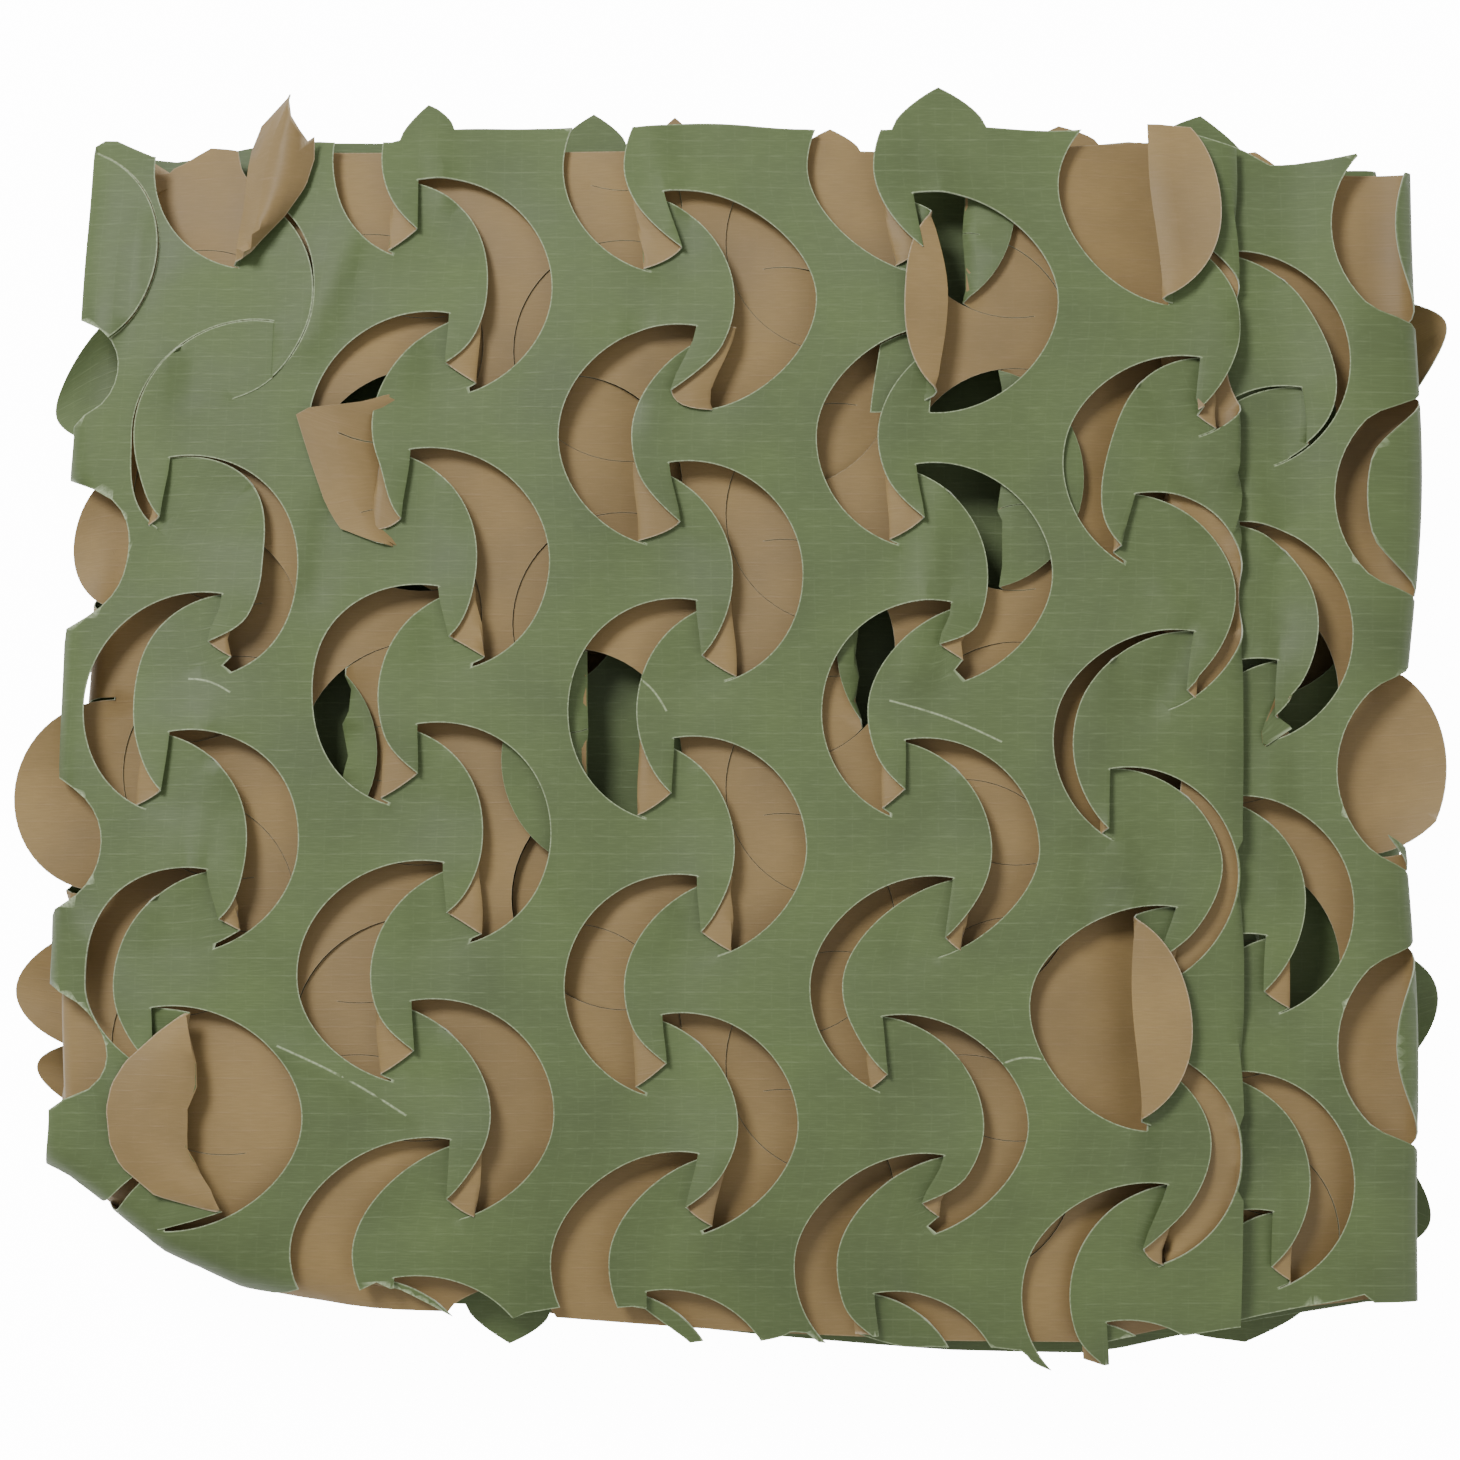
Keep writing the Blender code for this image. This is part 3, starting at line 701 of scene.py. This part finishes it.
def edge_line(edge, stations):
    side = 1 if edge > 0 else -1
    points = {u: edge_v(u, edge) for u in stations}
    for ply, leaf_edge, x, half, reach in EDGE_LEAVES:
        if leaf_edge != edge:
            continue
        middle = strip_u(ply, flat_of(x, edge) if ply == TOP_PLY else x)
        points = {u: v for u, v in points.items() if abs(u - middle) > half + 0.5}
        for k in range(-10, 11):
            share = k / 10
            height = (1 - abs(share)) ** TIP_CURVE
            u = middle + share * half
            points[u] = edge_v(u, edge) + side * reach * height
    return sorted(points.items())


def stroke(line, width):
    """A thin closed outline round a line, which cuts the cloth along it."""
    left, right = [], []
    for k, (x, y) in enumerate(line):
        x0, y0 = line[max(k - 1, 0)]
        x1, y1 = line[min(k + 1, len(line) - 1)]
        dx, dy = x1 - x0, y1 - y0
        length = hypot(dx, dy) or 1
        dx, dy = dx / length, dy / length
        left.append((x - dy * width / 2, y + dx * width / 2))
        right.append((x + dy * width / 2, y - dx * width / 2))
    return left + right[::-1]


def drawn_out(line, reach):
    """The same line, longer by a little at both ends."""
    (x0, y0), (x1, y1), (x2, y2), (x3, y3) = line[0], line[1], line[-2], line[-1]
    start, end = hypot(x0 - x1, y0 - y1), hypot(x3 - x2, y3 - y2)
    first = (x0 + (x0 - x1) / start * reach, y0 + (y0 - y1) / start * reach)
    last = (x3 + (x3 - x2) / end * reach, y3 + (y3 - y2) / end * reach)
    return [first] + line + [last]


def inside(x, y, loop):
    """Whether a point is inside a closed outline."""
    found = False
    x0, y0 = loop[-1]
    for x1, y1 in loop:
        if (y0 > y) != (y1 > y) and x < x0 + (y - y0) / (y1 - y0) * (x1 - x0):
            found = not found
        x0, y0 = x1, y1
    return found


def face_to_strip(points):
    """Points of the flat face, as places along and across the whole strip."""
    return [(strip_u(TOP_PLY, p), q) for p, q in points]


def clear_of_turned(line, own):
    """The parts of a cut that aren't on another leaf that has folded over."""
    parts = [[]]
    for p, q in line:
        leaf = turned_at(p, q, 0.3)
        if leaf and leaf is not own:
            parts.append([])
        else:
            parts[-1].append((p, q))
    return [part for part in parts if len(part) > 2]


def face_cuts():
    cuts = []
    for column in LEAVES:
        for leaf in column:
            cuts += clear_of_turned(leaf.arc(), leaf)
            if leaf.turned:
                cuts.append(leaf.fold_cut())
    return cuts


def leaf_folds():
    """Lines across the flat face where two overlapping leaves fold, for points to lie on."""
    lines = []
    for column in LEAVES:
        for upper, lower in zip(column, column[1:]):
            if upper.turned:
                continue
            middle = (upper.y + lower.y) / 2
            apart = opening_at(upper.column, middle)
            bend = layers(apart)[1]
            for fold in (lower.chord, lower.chord - upper.bulge * apart / 2):
                for shift in (-bend, 0, bend):
                    lines.append([(fold + shift, middle + v)
                                  for v in range(-CROSS_HALF, CROSS_HALF + 1, 4)])
    return lines


WORN_LINES = (  # pale lines where the face has been creased hard: from (x, y) to (x, y)
    (-128, -93, -95, -113), (43, 7, 75, -5), (-156, 13.5, -144, 9.5), (75, -98, 89, -97),
    (-29, 13, -22, 4))


def worn_lines():
    lines = []
    for x0, y0, x1, y1 in WORN_LINES:
        start, end = flat_of(x0, y0), flat_of(x1, y1)
        shares = [k / 12 for k in range(13)]
        lines.append(face_to_strip(
            (start + (end - start) * t, y0 + (y1 - y0) * t + 1.2 * sin(3 * t)) for t in shares))
    return lines


GRID_FACE = 3.6  # between the mesh's points
GRID_UNDER = 6.5
GRID_HIDDEN = 10.0
GRID_CLEAR = 0.55  # from a cut's points, as a share of that
BIN = 20  # width of the bins that holes are sorted into


def grid_step(u):
    if u > TOP_START - TURN - 1:
        return GRID_FACE
    return GRID_UNDER if u > ply_start(UNDER_PLY) - TURN else GRID_HIDDEN


def bend_stations():
    """Places along the strip where a fold needs a row of points."""
    stations = []
    for ply in range(TOP_PLY):
        start = ply_start(ply) + SPAN
        stations += [start + TURN * k / 8 for k in range(9)]
    return stations


def strip_end(low, high):
    """The strip's free end, which leaf cuts have left scalloped."""
    points = []
    for k in range(1, 110):
        v = low + (high - low) * k / 110
        depth = max(reach * sqrt(max(1 - ((v - y) / half) ** 2, 0))
                    for y, half, reach in END_BITES)
        points.append((FLAT_LENGTH - depth, v))
    return points


# One more leaf edge, near the strip's free end
END_LEAF_X, END_LEAF_Y, END_LEAF_LIFT = -182.0, 139.0, 1.6
END_LEAF = rim(END_LEAF_X, END_LEAF_Y, CUT_RADIUS, CUT_RADIUS,
               [radians(75 - 153 * k / 44) for k in range(45)])


def grid_points(stations, bends, taken):
    """A grid of points over the strip that keeps clear of those on the cuts."""
    tree = kdtree.KDTree(len(taken))
    for k, (x, y) in enumerate(taken):
        tree.insert((x, y, 0), k)
    tree.balance()
    points = []
    for k, u in enumerate(stations[1:-1]):
        step = grid_step(u)
        v = EDGE_BOTTOM - 8 + (step / 2 if k % 2 and u not in bends else 0)
        while v < EDGE_TOP + 8:
            if tree.find((u, v, 0))[2] > step * GRID_CLEAR:
                points.append((u, v))
            v += step
    return points


def cloth_left(verts, faces, outline, holes):
    """The triangles that are inside the strip's outline and outside every hole."""
    bins = {}
    for hole in holes:
        us, vs = [p[0] for p in hole], [p[1] for p in hole]
        box = (min(us), max(us), min(vs), max(vs))
        for cell in range(int(box[0] // BIN), int(box[1] // BIN) + 1):
            bins.setdefault(cell, []).append((box, hole))
    kept = []
    for a, b, c in faces:
        x = (verts[a].x + verts[b].x + verts[c].x) / 3
        y = (verts[a].y + verts[b].y + verts[c].y) / 3
        near_edge = (not EDGE_BOTTOM + EDGE_BAND < y < EDGE_TOP - EDGE_BAND
                     or x > FLAT_LENGTH - END_BAND)
        if near_edge and not inside(x, y, outline):
            continue
        if any(box[0] < x < box[1] and box[2] < y < box[3] and inside(x, y, hole)
               for box, hole in bins.get(int(x // BIN), ())):
            continue
        kept.append((a, b, c))
    return kept


def flat_net():
    """Points and triangles of the flat strip, cut along every leaf."""
    bends = bend_stations()
    stations = list(bends)
    u = 0.0
    while u < FLAT_LENGTH:
        if min(abs(u - bend) for bend in bends) > grid_step(u) / 2:
            stations.append(u)
        u += grid_step(u)
    stations = sorted(stations + [FLAT_LENGTH])
    lower, upper = edge_line(EDGE_BOTTOM, stations), edge_line(EDGE_TOP, stations)
    outline = lower + strip_end(lower[-1][1], upper[-1][1]) + upper[::-1]

    cut_lines = [face_to_strip(cut) for cut in face_cuts() + [END_LEAF]]
    cut_lines = [[point for point in line if point[0] < FLAT_LENGTH - 1] for line in cut_lines]
    under_lines = [cut.arc() for cut in UNDER_CUTS]
    slits = [stroke(line, KERF) for line in cut_lines + under_lines]
    openings = [cut.hole() for cut in OPEN_CRESCENTS + LOOSE_LEAVES]
    points, lines = [], []

    def add_line(line, closed):
        first, count = len(points), len(line)
        points.extend(line)
        for k in range(count if closed else count - 1):
            lines.append((first + k, first + (k + 1) % count))

    for loop in [outline] + slits + openings:
        add_line(loop, True)
    for line in leaf_folds():
        add_line(face_to_strip(line), False)
    for line in cut_lines:
        add_line(stroke(drawn_out(line, 1.0), KERF + 2 * FRAY), True)
    for line in worn_lines():
        add_line(line, False)
        add_line(stroke(drawn_out(line, FRAY), 2 * FRAY), True)
    for line in under_lines:
        add_line(stroke(drawn_out(line, FRAY), KERF + FRAY), True)
    for loop in [outline] + openings:
        points.extend(stroke(loop + loop[:1], 2 * FRAY))
    points += grid_points(stations, bends, points)
    verts, _, faces, *_ = delaunay_2d_cdt([Vector(p) for p in points], lines, [], 0, 1e-3)
    return [tuple(v) for v in verts], cloth_left(verts, faces, outline, slits + openings)


def wrinkle(x, y):
    """The face isn't quite smooth: low swells that run through it at several angles."""
    swell = 0.7 * sin(x / 17 + y / 43 + 1.3) * sin(y / 29 - x / 61)
    swell += 0.35 * sin((x + 0.6 * y) / 8.5) * sin(y / 14 + 0.7)
    return swell


CREASES = (  # soft ridges and troughs of the face: from (x, y) to (x, y), half width, rise
    (-115, 142, -127, 110, 7, 1.5), (-157, 0, -160, -45, 6, 1.4),
    (-146, -8, -143, -40, 5, -1.2), (-90, 176, -87, 152, 5, 1.3),
    (-26, 176, -20, 148, 5, 1.4), (-119, 66, -124, 36, 7, -1.4),
    (-30, 118, -33, 88, 5, -1.2), (56, 172, 60, 150, 5, 1.2),
    (58, 70, 50, 12, 7, 1.7), (66, 30, 96, 12, 6, -1.0),
    (107, -28, 114, -60, 5, 1.6), (99, -34, 101, -58, 5, -1.4),
    (121, 40, 142, 14, 6, 1.3), (131, 30, 118, 4, 6, -1.2),
    (126, 78, 138, 52, 5, -1.3), (148, 74, 152, 46, 5, 1.4),
    (158, 60, 156, 20, 5, -1.1), (154, -10, 156, -50, 5, 1.2),
    (172, -104, 186, -136, 7, -1.6), (152, -112, 158, -150, 5, 1.2),
    (-8, -128, -16, -160, 6, 1.2), (44, -132, 50, -166, 6, -1.2),
    (112, -100, 116, -150, 6, 1.3), (-134, -93, -98, -113, 5, 1.0),
    (-60, -36, -36, -62, 7, 0.9), (-190, -60, -180, -110, 7, 1.4),
    (-176, 150, -180, 110, 6, -1.4),
)


def creased(x, y):
    rise = 0.0
    for x0, y0, x1, y1, half, height in CREASES:
        length = hypot(x1 - x0, y1 - y0)
        along = ((x - x0) * (x1 - x0) + (y - y0) * (y1 - y0)) / length
        away = abs((x - x0) * (y1 - y0) - (y - y0) * (x1 - x0)) / length
        fade = ease((along + 8) / 12) * ease((length - along + 8) / 12)
        rise += height * ease(1 - away / half) * fade
    return rise


def face_place(u, v):
    """Where a point of the strip lies in the pad's face."""
    p = FOLD_RIGHT - (u - TOP_START)
    leaf = turned_at(p, v)
    if leaf:
        return turned_point(leaf, p, v)
    x, level = opened(p, v)
    point = folded(strip_u(TOP_PLY, x), v)
    if x < PLEAT_EDGE - PLEAT_LENGTH - 12 or x > PLEAT_EDGE + 16:
        point += tugged(p, v)
    level += sum(cut.lift(u, v) for cut in OPEN_CRESCENTS)
    r = hypot(p - END_LEAF_X, v - END_LEAF_Y) / CUT_RADIUS
    if r < 1:
        level += END_LEAF_LIFT * ease((r - 0.45) / 0.55)
    point.z += level + wrinkle(x, v)
    placed = settle_face(point)
    placed.z += creased(placed.x, placed.y)
    return placed


def net_point(u, v):
    """Where a point of the flat strip lies in the folded net."""
    for leaf in LOOSE_LEAVES:
        point = leaf.place(u, v)
        if point:
            return settle(point)
    if u > TOP_START:
        return face_place(u, v)
    point = folded(u, v)
    if ply_start(UNDER_PLY) < u < ply_start(UNDER_PLY) + SPAN:
        x = point.x
        for cut in UNDER_CUTS:
            if cut.holds_folded(x, v):
                return settle_face(cut.folded_back(x, v))
            risen = cut.risen(x, v) if cut.rises else None
            if risen:
                return settle_face(risen)
            point.z += cut.level(x, v)
        point.z += 0.8 * wrinkle(point.x + 40, v - 25)
    point.z += sum(cut.lift(u, v) for cut in OPEN_CRESCENTS)
    return settle_face(point) if u > ply_start(UNDER_PLY - 1) + TURN else settle(point)


CLOTH = 0.42  # thickness, with its coating
UV_SCALE = 100.0  # millimetres in one unit of the cloth's UV map
PALE_UNDER = 0.5  # how pale frayed edges are below the face


def build_net():
    """The cut strip, folded up and given both its faces and its cut edges."""
    flat, faces = flat_net()
    used = sorted({i for face in faces for i in face})
    index = {old: new for new, old in enumerate(used)}
    faces = [tuple(index[i] for i in face) for face in faces]
    flat = [flat[i] for i in used]
    middle = [net_point(u, v) - PAD_MIDDLE for u, v in flat]
    normals = [Vector((0, 0, 0)) for _ in middle]
    for a, b, c in faces:
        normal = (middle[b] - middle[a]).cross(middle[c] - middle[a])
        for i in (a, b, c):
            normals[i] += normal
    half = CLOTH / 2
    count = len(middle)
    verts = [(p + n.normalized() * half) * MM for p, n in zip(middle, normals)]
    verts += [(p - n.normalized() * half) * MM for p, n in zip(middle, normals)]
    sides = {(a, b) for face in faces for a, b in zip(face, face[1:] + face[:1])}
    borders = sorted((a, b) for a, b in sides if (b, a) not in sides)
    solid = list(faces) + [(c + count, b + count, a + count) for a, b, c in faces]
    solid += [(b, a, a + count, b + count) for a, b in borders]
    mesh = bpy.data.meshes.new("folded_net")
    mesh.from_pydata(verts, [], solid)
    worn = {(round(x, 1), round(y, 1)) for line in worn_lines() for x, y in line}
    frayed = {i for border in borders for i in border}
    frayed |= {i for i, (u, v) in enumerate(flat) if (round(u, 1), round(v, 1)) in worn}
    fray = mesh.attributes.new("fray", "FLOAT", "POINT")
    pale = [(1.0 if flat[i][0] > TOP_START else PALE_UNDER) if i in frayed else 0.0
            for i in range(count)]
    fray.data.foreach_set("value", pale + pale)
    slots = [1] * len(faces) + [0] * len(faces) + [2] * len(borders)
    mesh.polygons.foreach_set("material_index", slots)
    layer = mesh.uv_layers.new(name="flat_cloth")
    uvs = []
    for loop in mesh.loops:
        u, v = flat[loop.vertex_index % count]
        uvs += [u / UV_SCALE, v / UV_SCALE]
    layer.data.foreach_set("uv", uvs)
    mesh.update()
    mesh.shade_smooth()
    mesh.set_sharp_from_angle(angle=radians(60))
    return bpy.data.objects.new("folded_net", mesh)


net = build_net()
bpy.context.scene.collection.objects.link(net)


def math_node(tree, kind, *values, clamp=False):
    """Output of a Math node whose inputs are numbers or other nodes' outputs."""
    node = tree.nodes.new("ShaderNodeMath")
    node.operation, node.use_clamp = kind, clamp
    for socket, value in zip(node.inputs, values):
        if isinstance(value, (int, float)):
            socket.default_value = value
        else:
            tree.links.new(value, socket)
    return node.outputs[0]


def set_sockets(node, values):
    for name, value in values.items():
        node.inputs[name].default_value = value


# The weave, for both faces of the cloth: fine ribs, and a ripstop grid of thicker threads
def ripstop_group():
    group = bpy.data.node_groups.new("ripstop_weave", "ShaderNodeTree")
    face = group.interface
    face.new_socket("Place", in_out="INPUT", socket_type="NodeSocketVector")
    for name in ("Grid Pitch", "Thread Width"):
        face.new_socket(name, in_out="INPUT", socket_type="NodeSocketFloat")
    for name in ("Threads", "Ribs", "Mottle", "Wear", "Height"):
        face.new_socket(name, in_out="OUTPUT", socket_type="NodeSocketFloat")
    nodes, links = group.nodes, group.links
    start = nodes.new("NodeGroupInput")
    end = nodes.new("NodeGroupOutput")
    calc = partial(math_node, group)

    millimetres = nodes.new("ShaderNodeVectorMath")
    millimetres.operation = "SCALE"
    set_sockets(millimetres, {"Scale": UV_SCALE})
    links.new(start.outputs["Place"], millimetres.inputs[0])
    parts = nodes.new("ShaderNodeSeparateXYZ")
    links.new(millimetres.outputs[0], parts.inputs[0])

    def noise(scale, detail, stretch=(1, 1, 1)):
        spread = nodes.new("ShaderNodeVectorMath")
        spread.operation = "MULTIPLY"
        spread.inputs[1].default_value = stretch
        links.new(millimetres.outputs[0], spread.inputs[0])
        node = nodes.new("ShaderNodeTexNoise")
        set_sockets(node, {"Scale": scale, "Detail": detail})
        links.new(spread.outputs[0], node.inputs["Vector"])
        return node.outputs["Fac"]

    def thread_line(axis, wobble):
        """1 on a thick thread of the grid, 0 between them."""
        pitch = start.outputs["Grid Pitch"]
        cell = calc("FRACT", calc("DIVIDE", calc("ADD", parts.outputs[axis], wobble), pitch))
        away = calc("MULTIPLY", calc("ABSOLUTE", calc("SUBTRACT", cell, 0.5)), pitch)
        near_it = calc("DIVIDE", away, start.outputs["Thread Width"])
        return calc("SUBTRACT", 1.0, near_it, clamp=True)

    wobble = calc("MULTIPLY", calc("SUBTRACT", noise(0.05, 2), 0.5), 1.2)
    across = calc("MULTIPLY", thread_line("X", wobble), 0.35)
    broken = calc("MULTIPLY_ADD", noise(0.45, 4, (0.45, 1.4, 1)), 4.0, -1.5, clamp=True)
    threads = calc("MULTIPLY", calc("MAXIMUM", thread_line("Y", wobble), across), broken)
    streaks = noise(1.0, 3, (0.22, 2.2, 1))
    ribs = calc("MULTIPLY", calc("SUBTRACT", streaks, 0.5), 1.3)
    wear = calc("MULTIPLY_ADD", noise(1.1, 3), 3.2, -1.0, clamp=True)
    mottle = calc("SUBTRACT", noise(0.028, 4), 0.5)
    height = calc("ADD", calc("MULTIPLY", threads, 0.6), calc("MULTIPLY", ribs, 0.4))
    for socket, value in zip(end.inputs, (threads, ribs, mottle, wear, height)):
        links.new(value, socket)
    return group


ripstop = ripstop_group()

GRID_PITCH = 5.0  # of the ripstop's thick threads
THREAD_WIDTH = 0.4


def cloth_face(name, base, thread, worn, roughness, grid):
    """One proofed face of the cloth, with pale threads, uneven dye and a frayed pale cut edge."""
    material = bpy.data.materials.new(name)
    material.use_nodes = True
    tree = material.node_tree
    nodes, links = tree.nodes, tree.links
    shader = nodes["Principled BSDF"]
    place = nodes.new("ShaderNodeUVMap")
    place.uv_map = "flat_cloth"
    weave = nodes.new("ShaderNodeGroup")
    weave.node_tree = ripstop
    set_sockets(weave, {"Grid Pitch": GRID_PITCH, "Thread Width": THREAD_WIDTH})
    links.new(place.outputs[0], weave.inputs["Place"])

    def mix(a, b, share):
        node = nodes.new("ShaderNodeMix")
        node.data_type = "RGBA"
        for socket, value in ((node.inputs["A"], a), (node.inputs["B"], b)):
            if isinstance(value, tuple):
                socket.default_value = (*value, 1.0)
            else:
                links.new(value, socket)
        links.new(share, node.inputs["Factor"])
        return node.outputs["Result"]

    def scaled(value, gain, shift=0.0):
        return math_node(tree, "MULTIPLY_ADD", value, gain, shift, clamp=True)

    dark = tuple(c * 0.78 for c in base)
    light = tuple(min(c * 1.2, 1) for c in base)
    colour = mix(dark, light, scaled(weave.outputs["Mottle"], 2.2, 0.5))
    colour = mix(colour, dark, scaled(weave.outputs["Ribs"], 0.7, 0.1))
    colour = mix(colour, thread, scaled(weave.outputs["Ribs"], -0.55))
    colour = mix(colour, thread, scaled(weave.outputs["Threads"], grid))
    edge = nodes.new("ShaderNodeAttribute")
    edge.attribute_name = "fray"
    uneven = scaled(weave.outputs["Wear"], 0.65, 0.3)
    frayed = math_node(tree, "MULTIPLY", scaled(edge.outputs["Fac"], 1.25, -0.1), uneven)
    colour = mix(colour, worn, frayed)
    links.new(colour, shader.inputs["Base Color"])
    links.new(scaled(weave.outputs["Mottle"], 0.35, roughness), shader.inputs["Roughness"])
    bump = nodes.new("ShaderNodeBump")
    set_sockets(bump, {"Strength": 0.35, "Distance": 0.0002})
    links.new(weave.outputs["Height"], bump.inputs["Height"])
    links.new(bump.outputs["Normal"], shader.inputs["Normal"])
    set_sockets(shader, {"Sheen Weight": 0.15, "Sheen Roughness": 0.5})
    return material


GREEN = (0.095, 0.136, 0.043)
BROWN = (0.275, 0.183, 0.067)
PALE_EDGE = (0.36, 0.42, 0.28)
for finish in (  # (name, cloth, thread and frayed colours, roughness, strength of the grid)
    ("green_face", GREEN, (0.19, 0.25, 0.115), (0.42, 0.5, 0.3), 0.6, 0.36),
    ("brown_face", BROWN, (0.33, 0.22, 0.115), (0.5, 0.4, 0.26), 0.6, 0.22),
    ("cut_edge", PALE_EDGE, (0.45, 0.5, 0.38), (0.46, 0.5, 0.37), 0.8, 0.2),
):
    net.data.materials.append(cloth_face(*finish))
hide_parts("net")
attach(net, "root")

# ------------------------------------------------------------------------------------------
# The stage.  A white paper floor that stays white in the picture, a large soft light from the
# upper left with a weak one across from it, and a camera almost straight above the net.

FLOOR_DROP = 0.0004  # below the net's underside
bpy.ops.mesh.primitive_plane_add(size=6.0, location=(0, 0, -FLOOR_DROP))
floor = bpy.context.object
floor.name = "floor"
paper = bpy.data.materials.new("white_paper")
paper.use_nodes = True
tree = paper.node_tree
white = tree.nodes["Principled BSDF"]
set_sockets(white, {"Base Color": (0.9, 0.9, 0.9, 1), "Roughness": 0.9,
                    "Emission Color": (1, 1, 1, 1)})
SEEN_GLOW, GLOW = 13.0, 0.5  # what the camera sees, and what lights the net
seen = tree.nodes.new("ShaderNodeLightPath").outputs["Is Camera Ray"]
glow = math_node(tree, "MULTIPLY_ADD", seen, SEEN_GLOW, GLOW)
tree.links.new(glow, white.inputs["Emission Strength"])
floor.data.materials.append(paper)

world = bpy.data.worlds.new("studio")
world.use_nodes = True
set_sockets(world.node_tree.nodes["Background"], {"Color": (1, 1, 1, 1), "Strength": 0.5})
bpy.context.scene.world = world


def area_light(name, place, size, energy):
    data = bpy.data.lights.new(name, "AREA")
    data.shape = "DISK"
    data.size = size
    data.energy = energy
    lamp = bpy.data.objects.new(name, data)
    lamp.location = place
    lamp.rotation_mode = "QUATERNION"
    lamp.rotation_quaternion = (-Vector(place)).to_track_quat("-Z", "Y")
    bpy.context.scene.collection.objects.link(lamp)


area_light("key", (-1.0, 1.15, 2.1), 0.8, 52)
area_light("fill", (1.0, -0.8, 1.3), 1.2, 5)

PHOTO_WIDTH = 0.4234  # what the photo's frame spans at the net's face
PHOTO_PIXEL = 0.29  # in millimetres
FACE_LEVEL = 0.07
CAMERA_AWAY = 1.5
TILT = radians(3)  # from straight above, towards the lower edge
data = bpy.data.cameras.new("camera")
data.sensor_width = 36.0
data.lens = data.sensor_width * CAMERA_AWAY / PHOTO_WIDTH
camera = bpy.data.objects.new("camera", data)
aim = (Vector((-12 * PHOTO_PIXEL, -5 * PHOTO_PIXEL, 0)) - PAD_MIDDLE) * MM
aim.z = FACE_LEVEL
camera.location = aim + Vector((0, -sin(TILT), cos(TILT))) * CAMERA_AWAY
camera.rotation_euler = (TILT, 0, 0)
bpy.context.scene.collection.objects.link(camera)
bpy.context.scene.camera = camera
